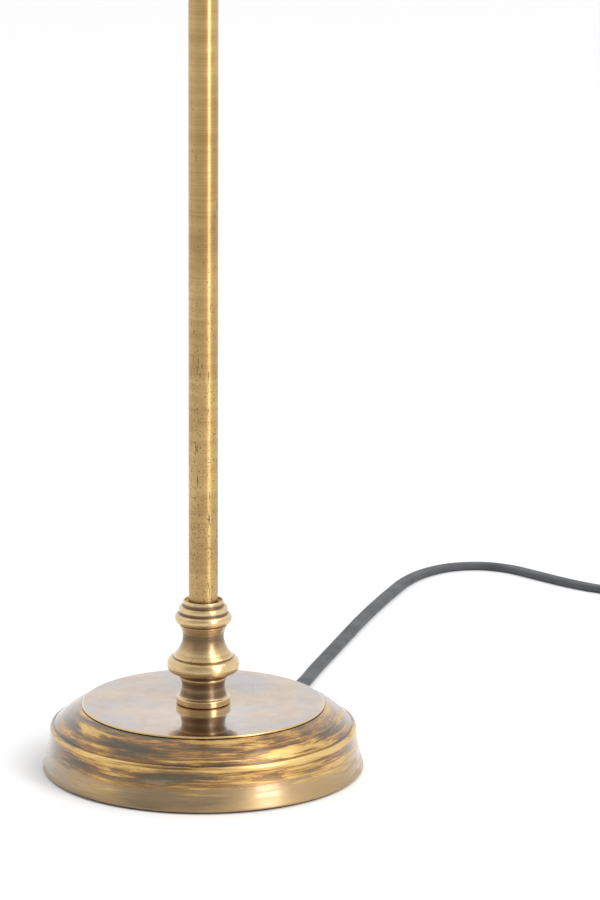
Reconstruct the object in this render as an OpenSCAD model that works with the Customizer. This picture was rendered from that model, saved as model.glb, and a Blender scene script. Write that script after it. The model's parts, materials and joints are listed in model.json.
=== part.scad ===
// Pharmacy floor lamp: a weighted stepped base, a turned spindle, a telescoping mast,
// a tilting arm and a dome shade that turns and tilts on a second knuckle.
// Origin: centre of the base on the floor. +Z is up, the head points along -Y.
// All lengths are in millimetres.

/* [Base] */
// Diameter of the base at its lower rim
base_d = 175; // [150:1:230]
// Height of the base from the floor to the top of the disc
base_h = 36.4; // [33:0.2:48]
// Height of the shoulder at the top of the flared band
band_h = 22.6; // [20:0.2:24]
// How far the flared band leans in from rim to shoulder
band_flare = 4; // [2:0.5:8]
// Radial width of the slope between shoulder and disc
slope_w = 14.1; // [8:0.1:22]
// How far the middle of the slope bulges outwards
slope_bulge = 0.8; // [0:0.1:2]
// Thickness of the polished disc
disc_t = 1.6; // [1:0.1:3]
// Wall of the brass base cover
shell_t = 1.6; // [1:0.1:2.5]
// Thickness of the felt pad
felt_t = 2.5; // [1.5:0.1:4]
// Gap under the rim of the cover, which stands clear of the floor
rim_lift = 0.8; // [0.4:0.1:1.4]

/* [Spindle] */
// Metal outside the column seat at the lip, which sets every turned diameter
lip_wall = 3.2; // [2.5:0.1:6]
// Height of the foot ring
foot_h = 3.8; // [3:0.1:6]
// Height of the neck between foot and fillet
neck_h = 10.5; // [8:0.1:16]
// Height from the fillet to the widest point of the bulge
under_h = 7.1; // [6:0.1:10]
// Height from the widest point of the bulge to the groove above it
over_h = 4.7; // [3:0.1:8]
// Height of the concave cone from the groove to the waist
cone_h = 11.5; // [8:0.1:18]
// Height of the flare from the waist to the bead
flare_h = 6.2; // [4:0.1:10]
// Height of the rounded ring above the bead
torus_h = 6.8; // [5:0.1:10]
// Height of the straight ring
ring_h = 4.2; // [3:0.1:7]
// Height of the top lip
lip_h = 3.2; // [2.5:0.1:6]

/* [Mast] */
// Outside diameter of the lower column tube
column_d = 16; // [14:0.1:22]
// Wall of the column tube
column_t = 1; // [0.8:0.1:1.5]
// Length of the column tube
column_len = 672; // [500:1:900]
// Wall of the guide bush and the stop sleeve between column and rod
guide_t = 1; // [0.8:0.1:1.6]
// Wall of the sliding rod
rod_t = 1; // [0.8:0.1:1.2]
// How far the rod can be pushed down from its middle position
travel_down = 200; // [60:1:220]
// How far the rod can be pulled up from its middle position
travel_up = 200; // [60:1:260]
// Metal outside the column in the clamp collar
collar_wall = 3.5; // [2.5:0.1:6]
// Diameter of the knurled clamp screw head
clamp_head_d = 14; // [10:0.5:18]

/* [Arm] */
// Distance from the arm pivot to the far end of the arm tube
arm_reach = 205; // [190:1:260]
// Outside diameter of the arm tube
arm_d = 10; // [8:0.1:12]
// Wall of the arm tube
arm_t = 1; // [0.8:0.1:1.2]
// Diameter of the fluted arm knob
arm_knob_d = 20; // [16:0.5:24]

/* [Knuckles] */
// Thickness of the tongue in a knuckle
tongue_t = 7.5; // [6:0.1:9]
// Thickness of each ear of a fork
ear_t = 3.7; // [3:0.1:5]
// Diameter of the pivot bolts
pivot_d = 6; // [5:0.1:7]
// Diameter of the spigot that a fork turns on
spigot_d = 8; // [7.6:0.1:9]

/* [Shade] */
// Diameter of the dome shade at its rim
dome_d = 160; // [140:1:180]
// Depth of the dome from its flat top to its rim
dome_h = 62; // [58:1:90]
// Thickness of the spun sheet
dome_t = 0.8; // [0.6:0.1:1.5]
// Diameter of the socket cup
cup_d = 42; // [40:0.5:48]
// Height of the socket cup
cup_h = 58; // [56:0.5:66]
// Wall of the socket cup
cup_t = 1; // [0.8:0.1:1.5]
// Number of vent holes round the top of the dome
vent_count = 8; // [4:1:12]
// Diameter of the glass globe
globe_d = 45; // [40:1:48]

/* [Cord] */
// Width of the flat two-core cord
cord_w = 7.8; // [6.6:0.1:8.4]
// Thickness of the flat two-core cord
cord_h = 4.2; // [3.4:0.1:4.6]
// Height of the cord outlet above the floor
cord_z = 10; // [9.4:0.1:11]
// Length of the tapered strain relief outside the base
relief_len = 28; // [20:1:40]

/* [Hidden] */
$fn = 64;

// clearances
run = 0.06;        // radial clearance of a running fit
fit = 0.05;        // clearance of parts that are screwed or pressed together
rest_gap = 0.1;    // axial clearance where a turning piece rests on another
stop_gap = 0.5;    // what is left between two stops at the end of the mast's travel
apart = 0.3;       // gap between pieces that move past each other

// base
rim_r = base_d / 2;
shoulder_r = rim_r - band_flare;
shoulder_roll = 2.2;
slope_foot_r = shoulder_r - shoulder_roll - 0.3;
slope_foot_z = band_h + 2.8;
slope_top_r = slope_foot_r - slope_w;
disc_r = slope_top_r - 0.8;
cover_top = base_h - disc_t;
groove_in = 1.2;
felt_r = rim_r - shell_t - 0.5;
recess_r = 20;
recess_top = 20;
channel_w = 10;
channel_top = 14;
cord_az = 70;

// threaded centre nipple that clamps base, spindle and column together
nipple_r = 5;
nipple_bore_r = 3.7;
washer_t = 1.5;
nut_h = 4;
nut_af = 14;
nipple_z0 = recess_top - washer_t - nut_h - 1;

// spindle: radii are counted from the column that it carries
column_r = column_d / 2;
lip_r = column_r + lip_wall;
lip_gap = 2.1;
lip_recess = 1.9;
seat_depth = 4.5;
ring_r = lip_r + 2;
torus_r = lip_r + 4.3;
bead_r = lip_r + 1.8;
waist_r = lip_r;
groove_r = lip_r + 5.1;
bulge_r = lip_r + 8.6;
fillet_r = lip_r + 2.1;
neck_r = lip_r + 0.5;
foot_r = lip_r + 3.5;
z_foot = base_h;
z_neck = z_foot + foot_h;
z_fillet = z_neck + neck_h;
z_bulge = z_fillet + under_h;
z_groove = z_bulge + over_h;
z_waist = z_groove + cone_h;
z_bead = z_waist + flare_h;
z_ring = z_bead + torus_h;
z_lip = z_ring + ring_h;
z_spindle = z_lip + lip_h;

// mast
column_z0 = z_spindle - lip_recess - seat_depth;
column_z1 = column_z0 + column_len;
column_bore_r = column_r - column_t;
coupler_len = 22;
nipple_z1 = column_z0 + coupler_len - 2;
rod_r = column_bore_r - guide_t;
rod_bore_r = rod_r - rod_t;
bush_len = 24;
bush_flange = 2;
collar_r = column_r + collar_wall;
collar_skirt = 18;
collar_head = 14;
collar_z1 = column_z1 + bush_flange + collar_head;
sleeve_len = 25;
rod_z0 = column_z1 - bush_len - stop_gap - travel_up - sleeve_len;
rod_z1 = collar_z1 + stop_gap + travel_down;
clamp_z = collar_z1 - 7;
clamp_thread_r = 2.5;
clamp_x = rod_r + apart;
lead_r = 2.4;
lead_bore_r = 2.6;
lead_z = 6;
lead_bend = 7;

// knuckles: spigot, washer, fork, nut, tongue and bolt, used at both ends of the arm
spigot_r = spigot_d / 2;
pivot_r = pivot_d / 2;
flange_t = 4;
flange_r = 8.5;
plug_len = 12;
kn_washer_t = 0.8;
web_h = 6;
kn_nut_h = 3;
kn_nut_r = 6;
fork_boss_h = 15;
fork_boss_r = 10.4;
fork_pivot_h = 34;
ear_r = 8;
slip_t = 0.4;
slot_w = tongue_t + 2 * (slip_t + rest_gap);
fork_w = slot_w + 2 * ear_t;
fork_z = flange_t + kn_washer_t + rest_gap;
knuckle_len = fork_z + fork_pivot_h;
tongue_bar_w = 11;
tongue_boss_z = 14;
arm_r = arm_d / 2;
arm_bore_r = arm_r - arm_t;
arm_boss_r = arm_r + 2;
arm_boss_len = 14;
arm_seat = 10;
arm_z0 = tongue_boss_z + arm_boss_len - arm_seat;
pivot_z = rod_z1 + knuckle_len;
shade_y = -(arm_reach + knuckle_len);

// head: lengths are counted down from the shade pivot
hang_boss_r = 7;
cup_z0 = 30;
cup_r = cup_d / 2;
cup_top_t = 1.2;
cup_z1 = cup_z0 + cup_h;
dome_z1 = cup_z1 + dome_h;
socket_r = 17;
socket_z0 = cup_z0 + cup_top_t + 3.2;
socket_floor = 50;
socket_bore_r = 14.2;
dome_hole_r = socket_r + 0.2;
ring_z1 = cup_z1 + dome_t + 6;
socket_z1 = ring_z1 + 2;
head_nipple_z0 = 20.5;
head_nipple_z1 = 42;
dome_flat_r = 30;
dome_r = dome_d / 2;
dome_bead_r = 1.4;
screw_shell_r = 14.1;
screw_shell_t = 0.6;
lamp_base_r = 13.15;
lamp_base_z0 = 53;
lamp_base_z1 = 78;
globe_r = globe_d / 2;
globe_neck_r = 12.2;
// the globe's round part starts below the mouth of the socket, a little wider than its neck
globe_z = socket_z1 + apart + sqrt(pow(globe_r, 2) - pow(globe_neck_r + 0.8, 2));
glass_t = 0.9;
switch_z = 45;
switch_r = 2.5;
switch_x = 8;
switch_knob_r = 7.5;
screw_z = 44;

// cord: width and thickness of its section, and where it lies
coil_x = 312;
coil_y = 312;
coil_mid_r = 43;
coil_turns_wide = 3;
coil_turns_high = 2;
coil_gap = 0.2;
coil_half_w = coil_turns_wide * (cord_h + coil_gap) / 2;
coil_z0 = 1;
coil_h = coil_turns_high * (cord_w + coil_gap);
tie_t = 0.8;
tie_gap = 0.4;
relief_in = rim_r - 7;
relief_x0 = rim_r + 0.2;
relief_flange = 2;
relief_x1 = relief_x0 + relief_flange + relief_len;
relief_tip_r = 4.5;
tip = [relief_x1 * cos(cord_az), relief_x1 * sin(cord_az), cord_z];
cord_lie = 2.3;
// the stretch from the strain relief to the coil, chosen by hand
ROUTE = [
    tip,
    [44.5, 122.5, 8.6], [48.5, 134, 5.4], [52, 145, 3.2],
    [56, 160, cord_lie], [62, 185, cord_lie], [68.5, 210, cord_lie], [75, 235, cord_lie],
    [81.5, 260, cord_lie], [88, 285, cord_lie], [95, 310, cord_lie], [102.5, 335, cord_lie],
    [110.5, 360, cord_lie], [119, 384, cord_lie], [131, 405, cord_lie], [148, 420, cord_lie],
    [168, 424, cord_lie], [186, 417, cord_lie], [201, 403, cord_lie], [215, 389, cord_lie],
    [230, 376, cord_lie], [247, 366, cord_lie], [266, 361, 3], [286, 360, 4.2],
    [306, 359.4, 4.9]
];
// the short tail from the coil down to the plug
TAIL = [
    [359.4, 306, 12.8], [360, 292, 12.2], [360, 278, 10.6], [360, 266, 9.2],
    [360, 254, 8.5]
];
plug_x = 360;
plug_y = 254;
plug_z = 8.5;
plug_w = 24;
plug_l = 26;
plug_t = 16;
plug_collar_l = 12;
plug_collar_r = 5.6;
blade_gap = 12.7;
blade_w = 6.35;
blade_t = 1.5;
blade_len = 16;

// ---------------------------------------------------------------------------
// outlines and small helpers

// quarter ellipse from a to b that leaves a along the axis of the turned piece
function rise(a, b, n = 6) = [for (i = [0:n]) let(t = 90 * i / n)
    [a.x + (b.x - a.x) * (1 - cos(t)), a.y + (b.y - a.y) * sin(t)]];

// quarter ellipse from a to b that leaves a across the axis of the turned piece
function spread(a, b, n = 6) = [for (i = [0:n]) let(t = 90 * i / n)
    [a.x + (b.x - a.x) * sin(t), a.y + (b.y - a.y) * (1 - cos(t))]];

// power curve from a to b: steep at a, along the axis at b
function settle(a, b, p, n = 8) = [for (i = [0:n]) let(u = i / n)
    [b.x + (a.x - b.x) * pow(1 - u, p), a.y + (b.y - a.y) * u]];

// line from a to b with its middle pushed out by h
function bowed(a, b, h, n = 6) =
    let(d = b - a, m = [d.y, -d.x] / norm(d))
    [for (i = [0:n]) let(u = i / n) a + u * d + 4 * h * u * (1 - u) * m];

// pipe between two heights
module pipe(r_out, r_in, z0, z1) {
    translate([0, 0, z0]) difference() {
        cylinder(r = r_out, h = z1 - z0);
        translate([0, 0, -1]) cylinder(r = r_in, h = z1 - z0 + 2);
    }
}

// round bar between two heights
module bar(r, z0, z1) {
    translate([0, 0, z0]) cylinder(r = r, h = z1 - z0);
}

// hexagon nut, af across its flats, standing on z0
module hex_nut(af, bore_r, z0, h) {
    translate([0, 0, z0]) difference() {
        cylinder(r = af / sqrt(3), h = h, $fn = 6);
        translate([0, 0, -1]) cylinder(r = bore_r, h = h + 2);
    }
}

// fluted grip: a disc with n shallow round flutes
module fluted(r, h, n, flute) {
    linear_extrude(h) polygon([for (i = [0:6 * n - 1])
        let(a = 360 * i / (6 * n), d = flute * (1 - cos(360 * i / 6)) / 2)
        [(r - d) * cos(a), (r - d) * sin(a)]]);
}

// places: a piece drawn along +Z is turned to run along +X, along the arm or down the head
module along_x() { rotate([0, 90, 0]) children(); }
module at_outlet() { rotate([0, 0, cord_az]) translate([0, 0, cord_z]) along_x() children(); }
module at_rod_top() { translate([0, 0, rod_z1]) children(); }
module at_arm_pivot() { translate([0, 0, pivot_z]) children(); }
module along_arm() { at_arm_pivot() rotate([90, 0, 0]) children(); }
module at_arm_end() { along_arm() translate([0, 0, arm_reach]) children(); }
module at_shade_pivot() { translate([0, shade_y, pivot_z]) children(); }
module down_head() { at_shade_pivot() rotate([180, 0, 0]) children(); }

// ---------------------------------------------------------------------------
// base

// outside of the cover from the rim up to its flat top
function cover_outline() = concat(
    [[rim_r - 0.8, rim_lift], [rim_r, rim_lift + 0.8]],
    settle([rim_r, rim_lift + 1], [shoulder_r, band_h], 1.6),
    rise([shoulder_r, band_h + 0.2], [shoulder_r - 1.4, band_h + 2.1], 4),
    [[slope_foot_r + 0.2, band_h + 1.9], [slope_foot_r, band_h + 2.1]],
    bowed([slope_foot_r, slope_foot_z], [slope_top_r, cover_top + 0.2], slope_bulge),
    [[slope_top_r - 0.5, cover_top + 0.3], [disc_r - groove_in, cover_top]]
);

// room inside the cover, shrunk all round by gap
function cover_room(gap) = [
    [0, rim_lift - 1], [rim_r - shell_t - gap, rim_lift - 1],
    [rim_r - shell_t - gap - 0.4, rim_lift + 2],
    [shoulder_r - shell_t - gap, band_h - 3],
    [shoulder_r - shell_t - gap, band_h - gap],
    [slope_foot_r - shell_t - gap, slope_foot_z - shell_t - gap],
    [slope_top_r - shell_t - gap, cover_top - shell_t - gap],
    [0, cover_top - shell_t - gap]
];

module base_cover() {
    color([0.50, 0.42, 0.25]) difference() {
        rotate_extrude($fn = 128) polygon(concat([[0, rim_lift]], cover_outline(), [[0, cover_top]]));
        rotate_extrude($fn = 128) polygon(cover_room(0));
        bar(nipple_r + fit, cover_top - shell_t - 1, cover_top + 1);
        at_outlet() bar(5.6, rim_r - 10, rim_r + 5);
    }
}

module base_disc() {
    color([0.66, 0.60, 0.52]) difference() {
        rotate_extrude($fn = 128) polygon([
            [0, cover_top], [disc_r - groove_in, cover_top], [disc_r - 0.2, cover_top + 0.4],
            [disc_r, cover_top + 0.7], [disc_r, base_h - 0.4], [disc_r - 0.4, base_h], [0, base_h]
        ]);
        bar(nipple_r + fit, cover_top - 1, base_h + 1);
    }
}

module base_weight() {
    color([0.22, 0.22, 0.23]) difference() {
        intersection() {
            rotate_extrude($fn = 128) polygon(cover_room(apart));
            bar(rim_r, felt_t, base_h);
        }
        bar(nipple_r + 2 * fit, 0, base_h);
        bar(recess_r, 0, recess_top);
        rotate([0, 0, cord_az]) {
            translate([0, -channel_w / 2, 0]) cube([rim_r, channel_w, channel_top]);
            translate([rim_r - 9, -9, 0]) cube([20, 18, cord_z + 8]);
        }
    }
}

module base_felt() {
    color([0.10, 0.12, 0.10]) bar(felt_r, 0, felt_t);
}

module base_washer() {
    color("silver") pipe(12, nipple_r + fit, recess_top - washer_t, recess_top);
}

module base_nut() {
    color("silver") hex_nut(nut_af, nipple_r + fit, recess_top - washer_t - nut_h, nut_h);
}

module center_nipple() {
    color("silver") pipe(nipple_r, nipple_bore_r, nipple_z0, nipple_z1);
}

// ---------------------------------------------------------------------------
// spindle

function spindle_outline() = concat(
    [[foot_r - 0.5, z_foot], [foot_r, z_foot + 0.5], [foot_r, z_neck - 0.4], [foot_r - 0.4, z_neck]],
    spread([foot_r - 0.7, z_neck], [neck_r, z_neck + 0.62 * neck_h]),
    rise([neck_r, z_neck + 0.66 * neck_h], [fillet_r - 0.2, z_fillet - 0.3]),
    [[fillet_r, z_fillet], [fillet_r, z_fillet + 0.6], [fillet_r - 0.2, z_fillet + 0.9]],
    rise([fillet_r - 0.1, z_fillet + 1.1], [fillet_r + 3.2, z_fillet + 3.4], 5),
    spread([fillet_r + 3.4, z_fillet + 3.5], [bulge_r, z_bulge]),
    rise([bulge_r, z_bulge + 0.2], [groove_r + 0.9, z_groove - 0.2]),
    [[groove_r - 0.1, z_groove - 0.1], [groove_r - 0.2, z_groove + 0.4]],
    settle([groove_r, z_groove + 0.6], [waist_r, z_waist], 1.9),
    [for (i = [1:6]) let(u = i / 6)
        [waist_r + (bead_r - 0.3 - waist_r) * pow(u, 1.6), z_waist + 0.4 + (flare_h - 0.9) * u]],
    [[bead_r, z_bead - 0.1], [bead_r, z_bead + 0.3], [bead_r - 0.3, z_bead + 0.7]],
    spread([bead_r + 0.6, z_bead + 1.3], [torus_r, z_bead + 0.6 * torus_h]),
    rise([torus_r, z_bead + 0.63 * torus_h], [ring_r + 0.4, z_ring - 0.1]),
    [[ring_r, z_ring + 0.1], [ring_r + 0.15, z_ring + ring_h / 2]],
    rise([ring_r, z_lip - 0.8], [lip_r + 0.3, z_lip - 0.1], 3),
    [[lip_r, z_lip + 0.2], [lip_r, z_spindle - 0.4], [lip_r - 0.4, z_spindle]],
    [[column_r + lip_gap + 0.3, z_spindle], [column_r + lip_gap, z_spindle - 0.3]],
    [[column_r + lip_gap, z_spindle - lip_recess], [0, z_spindle - lip_recess]]
);

module spindle() {
    color([0.62, 0.48, 0.27]) difference() {
        rotate_extrude($fn = 96) polygon(concat([[0, z_foot]], spindle_outline()));
        bar(nipple_r + fit, z_foot - 1, z_spindle);
        bar(column_r + fit, column_z0, z_spindle);
    }
}

// ---------------------------------------------------------------------------
// mast

module column_tube() {
    color([0.69, 0.55, 0.31]) pipe(column_r, column_bore_r, column_z0, column_z1);
}

module tube_coupler() {
    color([0.72, 0.58, 0.30]) pipe(column_bore_r - fit, nipple_r + fit, column_z0, column_z0 + coupler_len);
}

module guide_bush() {
    color("ivory") union() {
        pipe(column_bore_r - fit, rod_r + run, column_z1 - bush_len, column_z1);
        pipe(column_r, rod_r + run, column_z1, column_z1 + bush_flange);
    }
}

module column_collar() {
    color([0.62, 0.48, 0.27]) difference() {
        rotate_extrude($fn = 96) polygon(concat(
            [[0, column_z1 - collar_skirt], [column_r + 1.2, column_z1 - collar_skirt]],
            spread([column_r + 1.6, column_z1 - collar_skirt], [collar_r - 0.8, column_z1 - collar_skirt + 6]),
            [[collar_r - 0.8, column_z1 - 2], [collar_r, column_z1 - 1.4], [collar_r, collar_z1 - 1.6]],
            rise([collar_r, collar_z1 - 1.4], [collar_r - 1.6, collar_z1], 4),
            [[0, collar_z1]]));
        bar(column_r + fit, column_z1 - collar_skirt - 1, column_z1 + bush_flange);
        bar(rod_r + apart, column_z1, collar_z1 + 1);
        translate([0, 0, clamp_z]) along_x() bar(clamp_thread_r + run, 0, collar_r + 2);
    }
}

module clamp_screw() {
    color([0.62, 0.48, 0.27]) translate([0, 0, clamp_z]) along_x() union() {
        bar(clamp_thread_r, clamp_x, collar_r + 3);
        bar(clamp_head_d / 2 - 2.5, collar_r + 2, collar_r + 5);
        translate([0, 0, collar_r + 4]) fluted(clamp_head_d / 2, 10, 24, 0.5);
        bar(clamp_head_d / 2 - 2, collar_r + 13, collar_r + 15);
    }
}

module sliding_rod() {
    color([0.69, 0.55, 0.31]) pipe(rod_r, rod_bore_r, rod_z0, rod_z1);
}

module stop_sleeve() {
    color("ivory") pipe(column_bore_r - run, rod_r + fit, rod_z0, rod_z0 + sleeve_len);
}

// ---------------------------------------------------------------------------
// knuckle pieces, each drawn along +Z from the end of the tube that carries it

module spigot(bore_r) {
    difference() {
        union() {
            bar(bore_r - fit, -plug_len, 1);
            bar(flange_r, 0, flange_t);
            bar(spigot_r, flange_t - 1, fork_z + web_h + kn_nut_h + 1);
        }
        bar(lead_bore_r, -plug_len - 1, fork_z + web_h + kn_nut_h + 2);
    }
}

module spigot_washer() {
    pipe(flange_r - 0.5, spigot_r + run, flange_t, flange_t + kn_washer_t);
}

module spigot_nut() {
    hex_nut(2 * kn_nut_r * cos(30), spigot_r + fit, fork_z + web_h + rest_gap, kn_nut_h);
}

module fork() {
    translate([0, 0, fork_z]) difference() {
        union() {
            bar(fork_boss_r, 0.8, fork_boss_h);
            bar(fork_boss_r - 0.8, 0, 1);
            intersection() {
                union() {
                    translate([-fork_w / 2, -ear_r, fork_boss_h - 1])
                        cube([fork_w, 2 * ear_r, fork_pivot_h - fork_boss_h + 1]);
                    translate([0, 0, fork_pivot_h]) along_x() bar(ear_r, -fork_w / 2, fork_w / 2);
                }
                bar(fork_boss_r + 0.4, 0, 60);
            }
        }
        translate([-slot_w / 2, -20, fork_boss_h]) cube([slot_w, 40, 60]);
        bar(kn_nut_r + apart, web_h, fork_boss_h + 1);
        bar(spigot_r + run, -1, web_h + 1);
        translate([0, 0, fork_pivot_h]) along_x() bar(pivot_r + fit, -20, 20);
    }
}

// tongue on a pivot at the origin, with its boss along +Z
module tongue(boss_r, boss_len, bore_r, bore_z0, wire_r) {
    difference() {
        union() {
            along_x() bar(ear_r, -tongue_t / 2, tongue_t / 2);
            translate([-tongue_t / 2, -tongue_bar_w / 2, 0]) cube([tongue_t, tongue_bar_w, tongue_boss_z + 1]);
            bar(boss_r, tongue_boss_z, tongue_boss_z + boss_len);
        }
        along_x() bar(pivot_r + run, -10, 10);
        bar(bore_r, bore_z0, tongue_boss_z + boss_len + 1);
        bar(wire_r, pivot_r + 3, bore_z0 + 1);
    }
}

// two slip washers between the tongue and the ears
module slip_washers() {
    for (side = [-1, 1])
        translate([side * (tongue_t + rest_gap + slip_t) / 2, 0, 0])
            along_x() pipe(ear_r - 0.6, pivot_r + fit, -slip_t / 2, slip_t / 2);
}

// pivot bolt with its head on the -X side
module pivot_bolt(end_x) {
    along_x() union() {
        bar(pivot_r, -fork_w / 2 - 1, end_x);
        bar(5.4, -fork_w / 2 - 2.4, -fork_w / 2);
        bar(4.6, -fork_w / 2 - 3, -fork_w / 2 - 2);
    }
}

// ---------------------------------------------------------------------------
// swivel on top of the rod

module rod_spigot() {
    color([0.62, 0.48, 0.27]) at_rod_top() spigot(rod_bore_r);
}

module swivel_washer() {
    color("ivory") at_rod_top() spigot_washer();
}

module swivel_nut() {
    color("silver") at_rod_top() spigot_nut();
}

module swivel_fork() {
    color([0.62, 0.48, 0.27]) at_rod_top() fork();
}

module arm_bolt() {
    color([0.55, 0.43, 0.24]) at_arm_pivot() pivot_bolt(fork_w / 2 + 9);
}

module arm_slip_washers() {
    color("ivory") at_arm_pivot() slip_washers();
}

module arm_knob() {
    color([0.62, 0.48, 0.27]) at_arm_pivot() along_x() difference() {
        union() {
            bar(6, fork_w / 2 + apart, fork_w / 2 + 4);
            translate([0, 0, fork_w / 2 + 3]) fluted(arm_knob_d / 2, 8, 20, 0.9);
            bar(arm_knob_d / 2 - 2.5, fork_w / 2 + 10, fork_w / 2 + 12.4);
        }
        bar(pivot_r + run, 0, fork_w / 2 + 9.4);
    }
}

// ---------------------------------------------------------------------------
// arm

module arm_tongue() {
    color([0.62, 0.48, 0.27]) along_arm()
        tongue(arm_boss_r, arm_boss_len, arm_r + fit, arm_z0, lead_bore_r);
}

module arm_tube() {
    color([0.69, 0.55, 0.31]) along_arm() pipe(arm_r, arm_bore_r, arm_z0, arm_reach);
}

module arm_spigot() {
    color([0.62, 0.48, 0.27]) at_arm_end() spigot(arm_bore_r);
}

module link_washer() {
    color("ivory") at_arm_end() spigot_washer();
}

module link_nut() {
    color("silver") at_arm_end() spigot_nut();
}

// ---------------------------------------------------------------------------
// link between arm and shade

module link_fork() {
    color([0.62, 0.48, 0.27]) at_arm_end() fork();
}

module shade_bolt() {
    color([0.55, 0.43, 0.24]) at_shade_pivot() pivot_bolt(fork_w / 2 + 4.5);
}

module shade_slip_washers() {
    color("ivory") at_shade_pivot() slip_washers();
}

module shade_cap_nut() {
    color([0.62, 0.48, 0.27]) at_shade_pivot() along_x() difference() {
        union() {
            translate([0, 0, fork_w / 2]) cylinder(r = 5.8, h = 4, $fn = 6);
            translate([0, 0, fork_w / 2 + 3.4]) intersection() {
                sphere(r = 4.6);
                bar(6, 0, 6);
            }
        }
        bar(pivot_r + fit, 0, fork_w / 2 + 4.8);
    }
}

// ---------------------------------------------------------------------------
// head: everything below hangs from the shade pivot

module shade_tongue() {
    color([0.62, 0.48, 0.27]) down_head()
        tongue(hang_boss_r, cup_z0 - tongue_boss_z, nipple_r + fit, head_nipple_z0 - 0.5, lead_bore_r);
}

module head_nipple() {
    color("silver") down_head() pipe(nipple_r, 3.2, head_nipple_z0, head_nipple_z1);
}

module head_nut() {
    color("silver") down_head() hex_nut(nut_af, nipple_r + fit, cup_z0 + cup_top_t, 3);
}

module socket_cup() {
    color([0.58, 0.45, 0.25]) down_head() difference() {
        rotate_extrude($fn = 96) polygon(concat(
            [[0, cup_z0]],
            spread([cup_r - 4, cup_z0], [cup_r, cup_z0 + 4], 5),
            [[cup_r, cup_z1], [cup_r - cup_t, cup_z1], [cup_r - cup_t, cup_z0 + 4 + cup_t]],
            [[cup_r - 4, cup_z0 + cup_top_t], [0, cup_z0 + cup_top_t]]));
        bar(nipple_r + fit, cup_z0 - 1, cup_z0 + 3);
        translate([0, 0, switch_z]) along_x() bar(switch_r + 0.7, cup_r - 5, cup_r + 5);
    }
}

module dome_shade() {
    color([0.58, 0.45, 0.25]) down_head() difference() {
        rotate_extrude($fn = 128) union() {
            polygon(concat(
                [[dome_hole_r, cup_z1], [dome_flat_r, cup_z1]],
                [for (i = [1:12]) let(t = 90 * i / 12)
                    [dome_flat_r + (dome_r - dome_flat_r) * sin(t), dome_z1 - dome_h * cos(t)]],
                [for (i = [12:-1:0]) let(t = 90 * i / 12)
                    [dome_flat_r + (dome_r - dome_t - dome_flat_r) * sin(t),
                     dome_z1 - (dome_h - dome_t) * cos(t)]],
                [[dome_hole_r, cup_z1 + dome_t]]));
            translate([dome_r - dome_t / 2, dome_z1]) circle(r = dome_bead_r, $fn = 24);
        }
        for (i = [0:vent_count - 1])
            rotate([0, 0, 360 * (i + 0.5) / vent_count]) translate([27, 0, 0])
                bar(2, cup_z1 - 1, cup_z1 + dome_t + 1);
    }
}

module shade_ring() {
    color("ivory") down_head() union() {
        pipe(23, socket_r + fit, cup_z1 + dome_t, cup_z1 + dome_t + 2);
        pipe(20, socket_r + fit, cup_z1 + dome_t + 1, ring_z1);
    }
}

module socket_shell() {
    color([0.12, 0.11, 0.11]) down_head() difference() {
        bar(socket_r, socket_z0, socket_z1);
        bar(nipple_r + fit, socket_z0 - 1, head_nipple_z1);
        bar(lead_bore_r, head_nipple_z1 - 1, socket_floor + 1);
        bar(socket_bore_r, socket_floor, socket_z1 + 1);
        translate([0, 0, switch_z]) along_x() bar(switch_r + run, switch_x - 0.2, socket_r + 1);
        for (side = [-1, 1]) translate([0, 0, screw_z]) rotate([side * 90, 0, 0]) {
            bar(3, 14.4, socket_r + 1);
            bar(1.5 + fit, 9.9, 15);
        }
    }
}

module socket_screws() {
    color("gold") down_head() for (side = [-1, 1])
        translate([0, 0, screw_z]) rotate([side * 90, 0, 0]) union() {
            bar(1.5, 10, 15);
            bar(2.7, 14.5, 16.6);
        }
}

module screw_shell() {
    color([0.80, 0.66, 0.34]) down_head()
        pipe(screw_shell_r, screw_shell_r - screw_shell_t, socket_floor + 2.5, cup_z1 + 4);
}

module socket_contact() {
    color([0.80, 0.66, 0.34]) down_head() bar(5, socket_floor, socket_floor + 1.2);
}

module lamp_base() {
    color([0.75, 0.75, 0.77]) down_head() pipe(lamp_base_r, lamp_base_r - 0.5, lamp_base_z0 + 1, lamp_base_z1);
}

module lamp_insulator() {
    color([0.06, 0.06, 0.06]) down_head() difference() {
        translate([0, 0, lamp_base_z0])
            cylinder(r1 = 6, r2 = lamp_base_r - 0.5 - fit, h = 5);
        bar(3.4, lamp_base_z0 - 1, lamp_base_z0 + 0.9);
    }
}

module lamp_contact() {
    color([0.75, 0.75, 0.77]) down_head() union() {
        bar(4.5, socket_floor + 1.2, lamp_base_z0);
        bar(3.3, lamp_base_z0 - 0.5, lamp_base_z0 + 0.9);
    }
}

// hollow globe: a sphere that runs into a straight neck, less the same shape one wall smaller
module globe_form(wall) {
    union() {
        translate([0, 0, globe_z]) sphere(r = globe_r - wall, $fn = 96);
        bar(globe_neck_r - wall, lamp_base_z1 - 8, globe_z);
    }
}

module lamp_globe() {
    color([0.95, 0.94, 0.90, 0.6]) down_head() difference() {
        globe_form(0);
        globe_form(glass_t);
        bar(globe_neck_r - glass_t, lamp_base_z1 - 9, lamp_base_z1);
    }
}

module lamp_stem() {
    color([0.9, 0.9, 0.9, 0.6]) down_head() union() {
        bar(globe_neck_r - glass_t - fit, lamp_base_z1 - 7, lamp_base_z1 - 5.8);
        bar(3, lamp_base_z1 - 6, globe_z - 10.8);
    }
}

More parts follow.
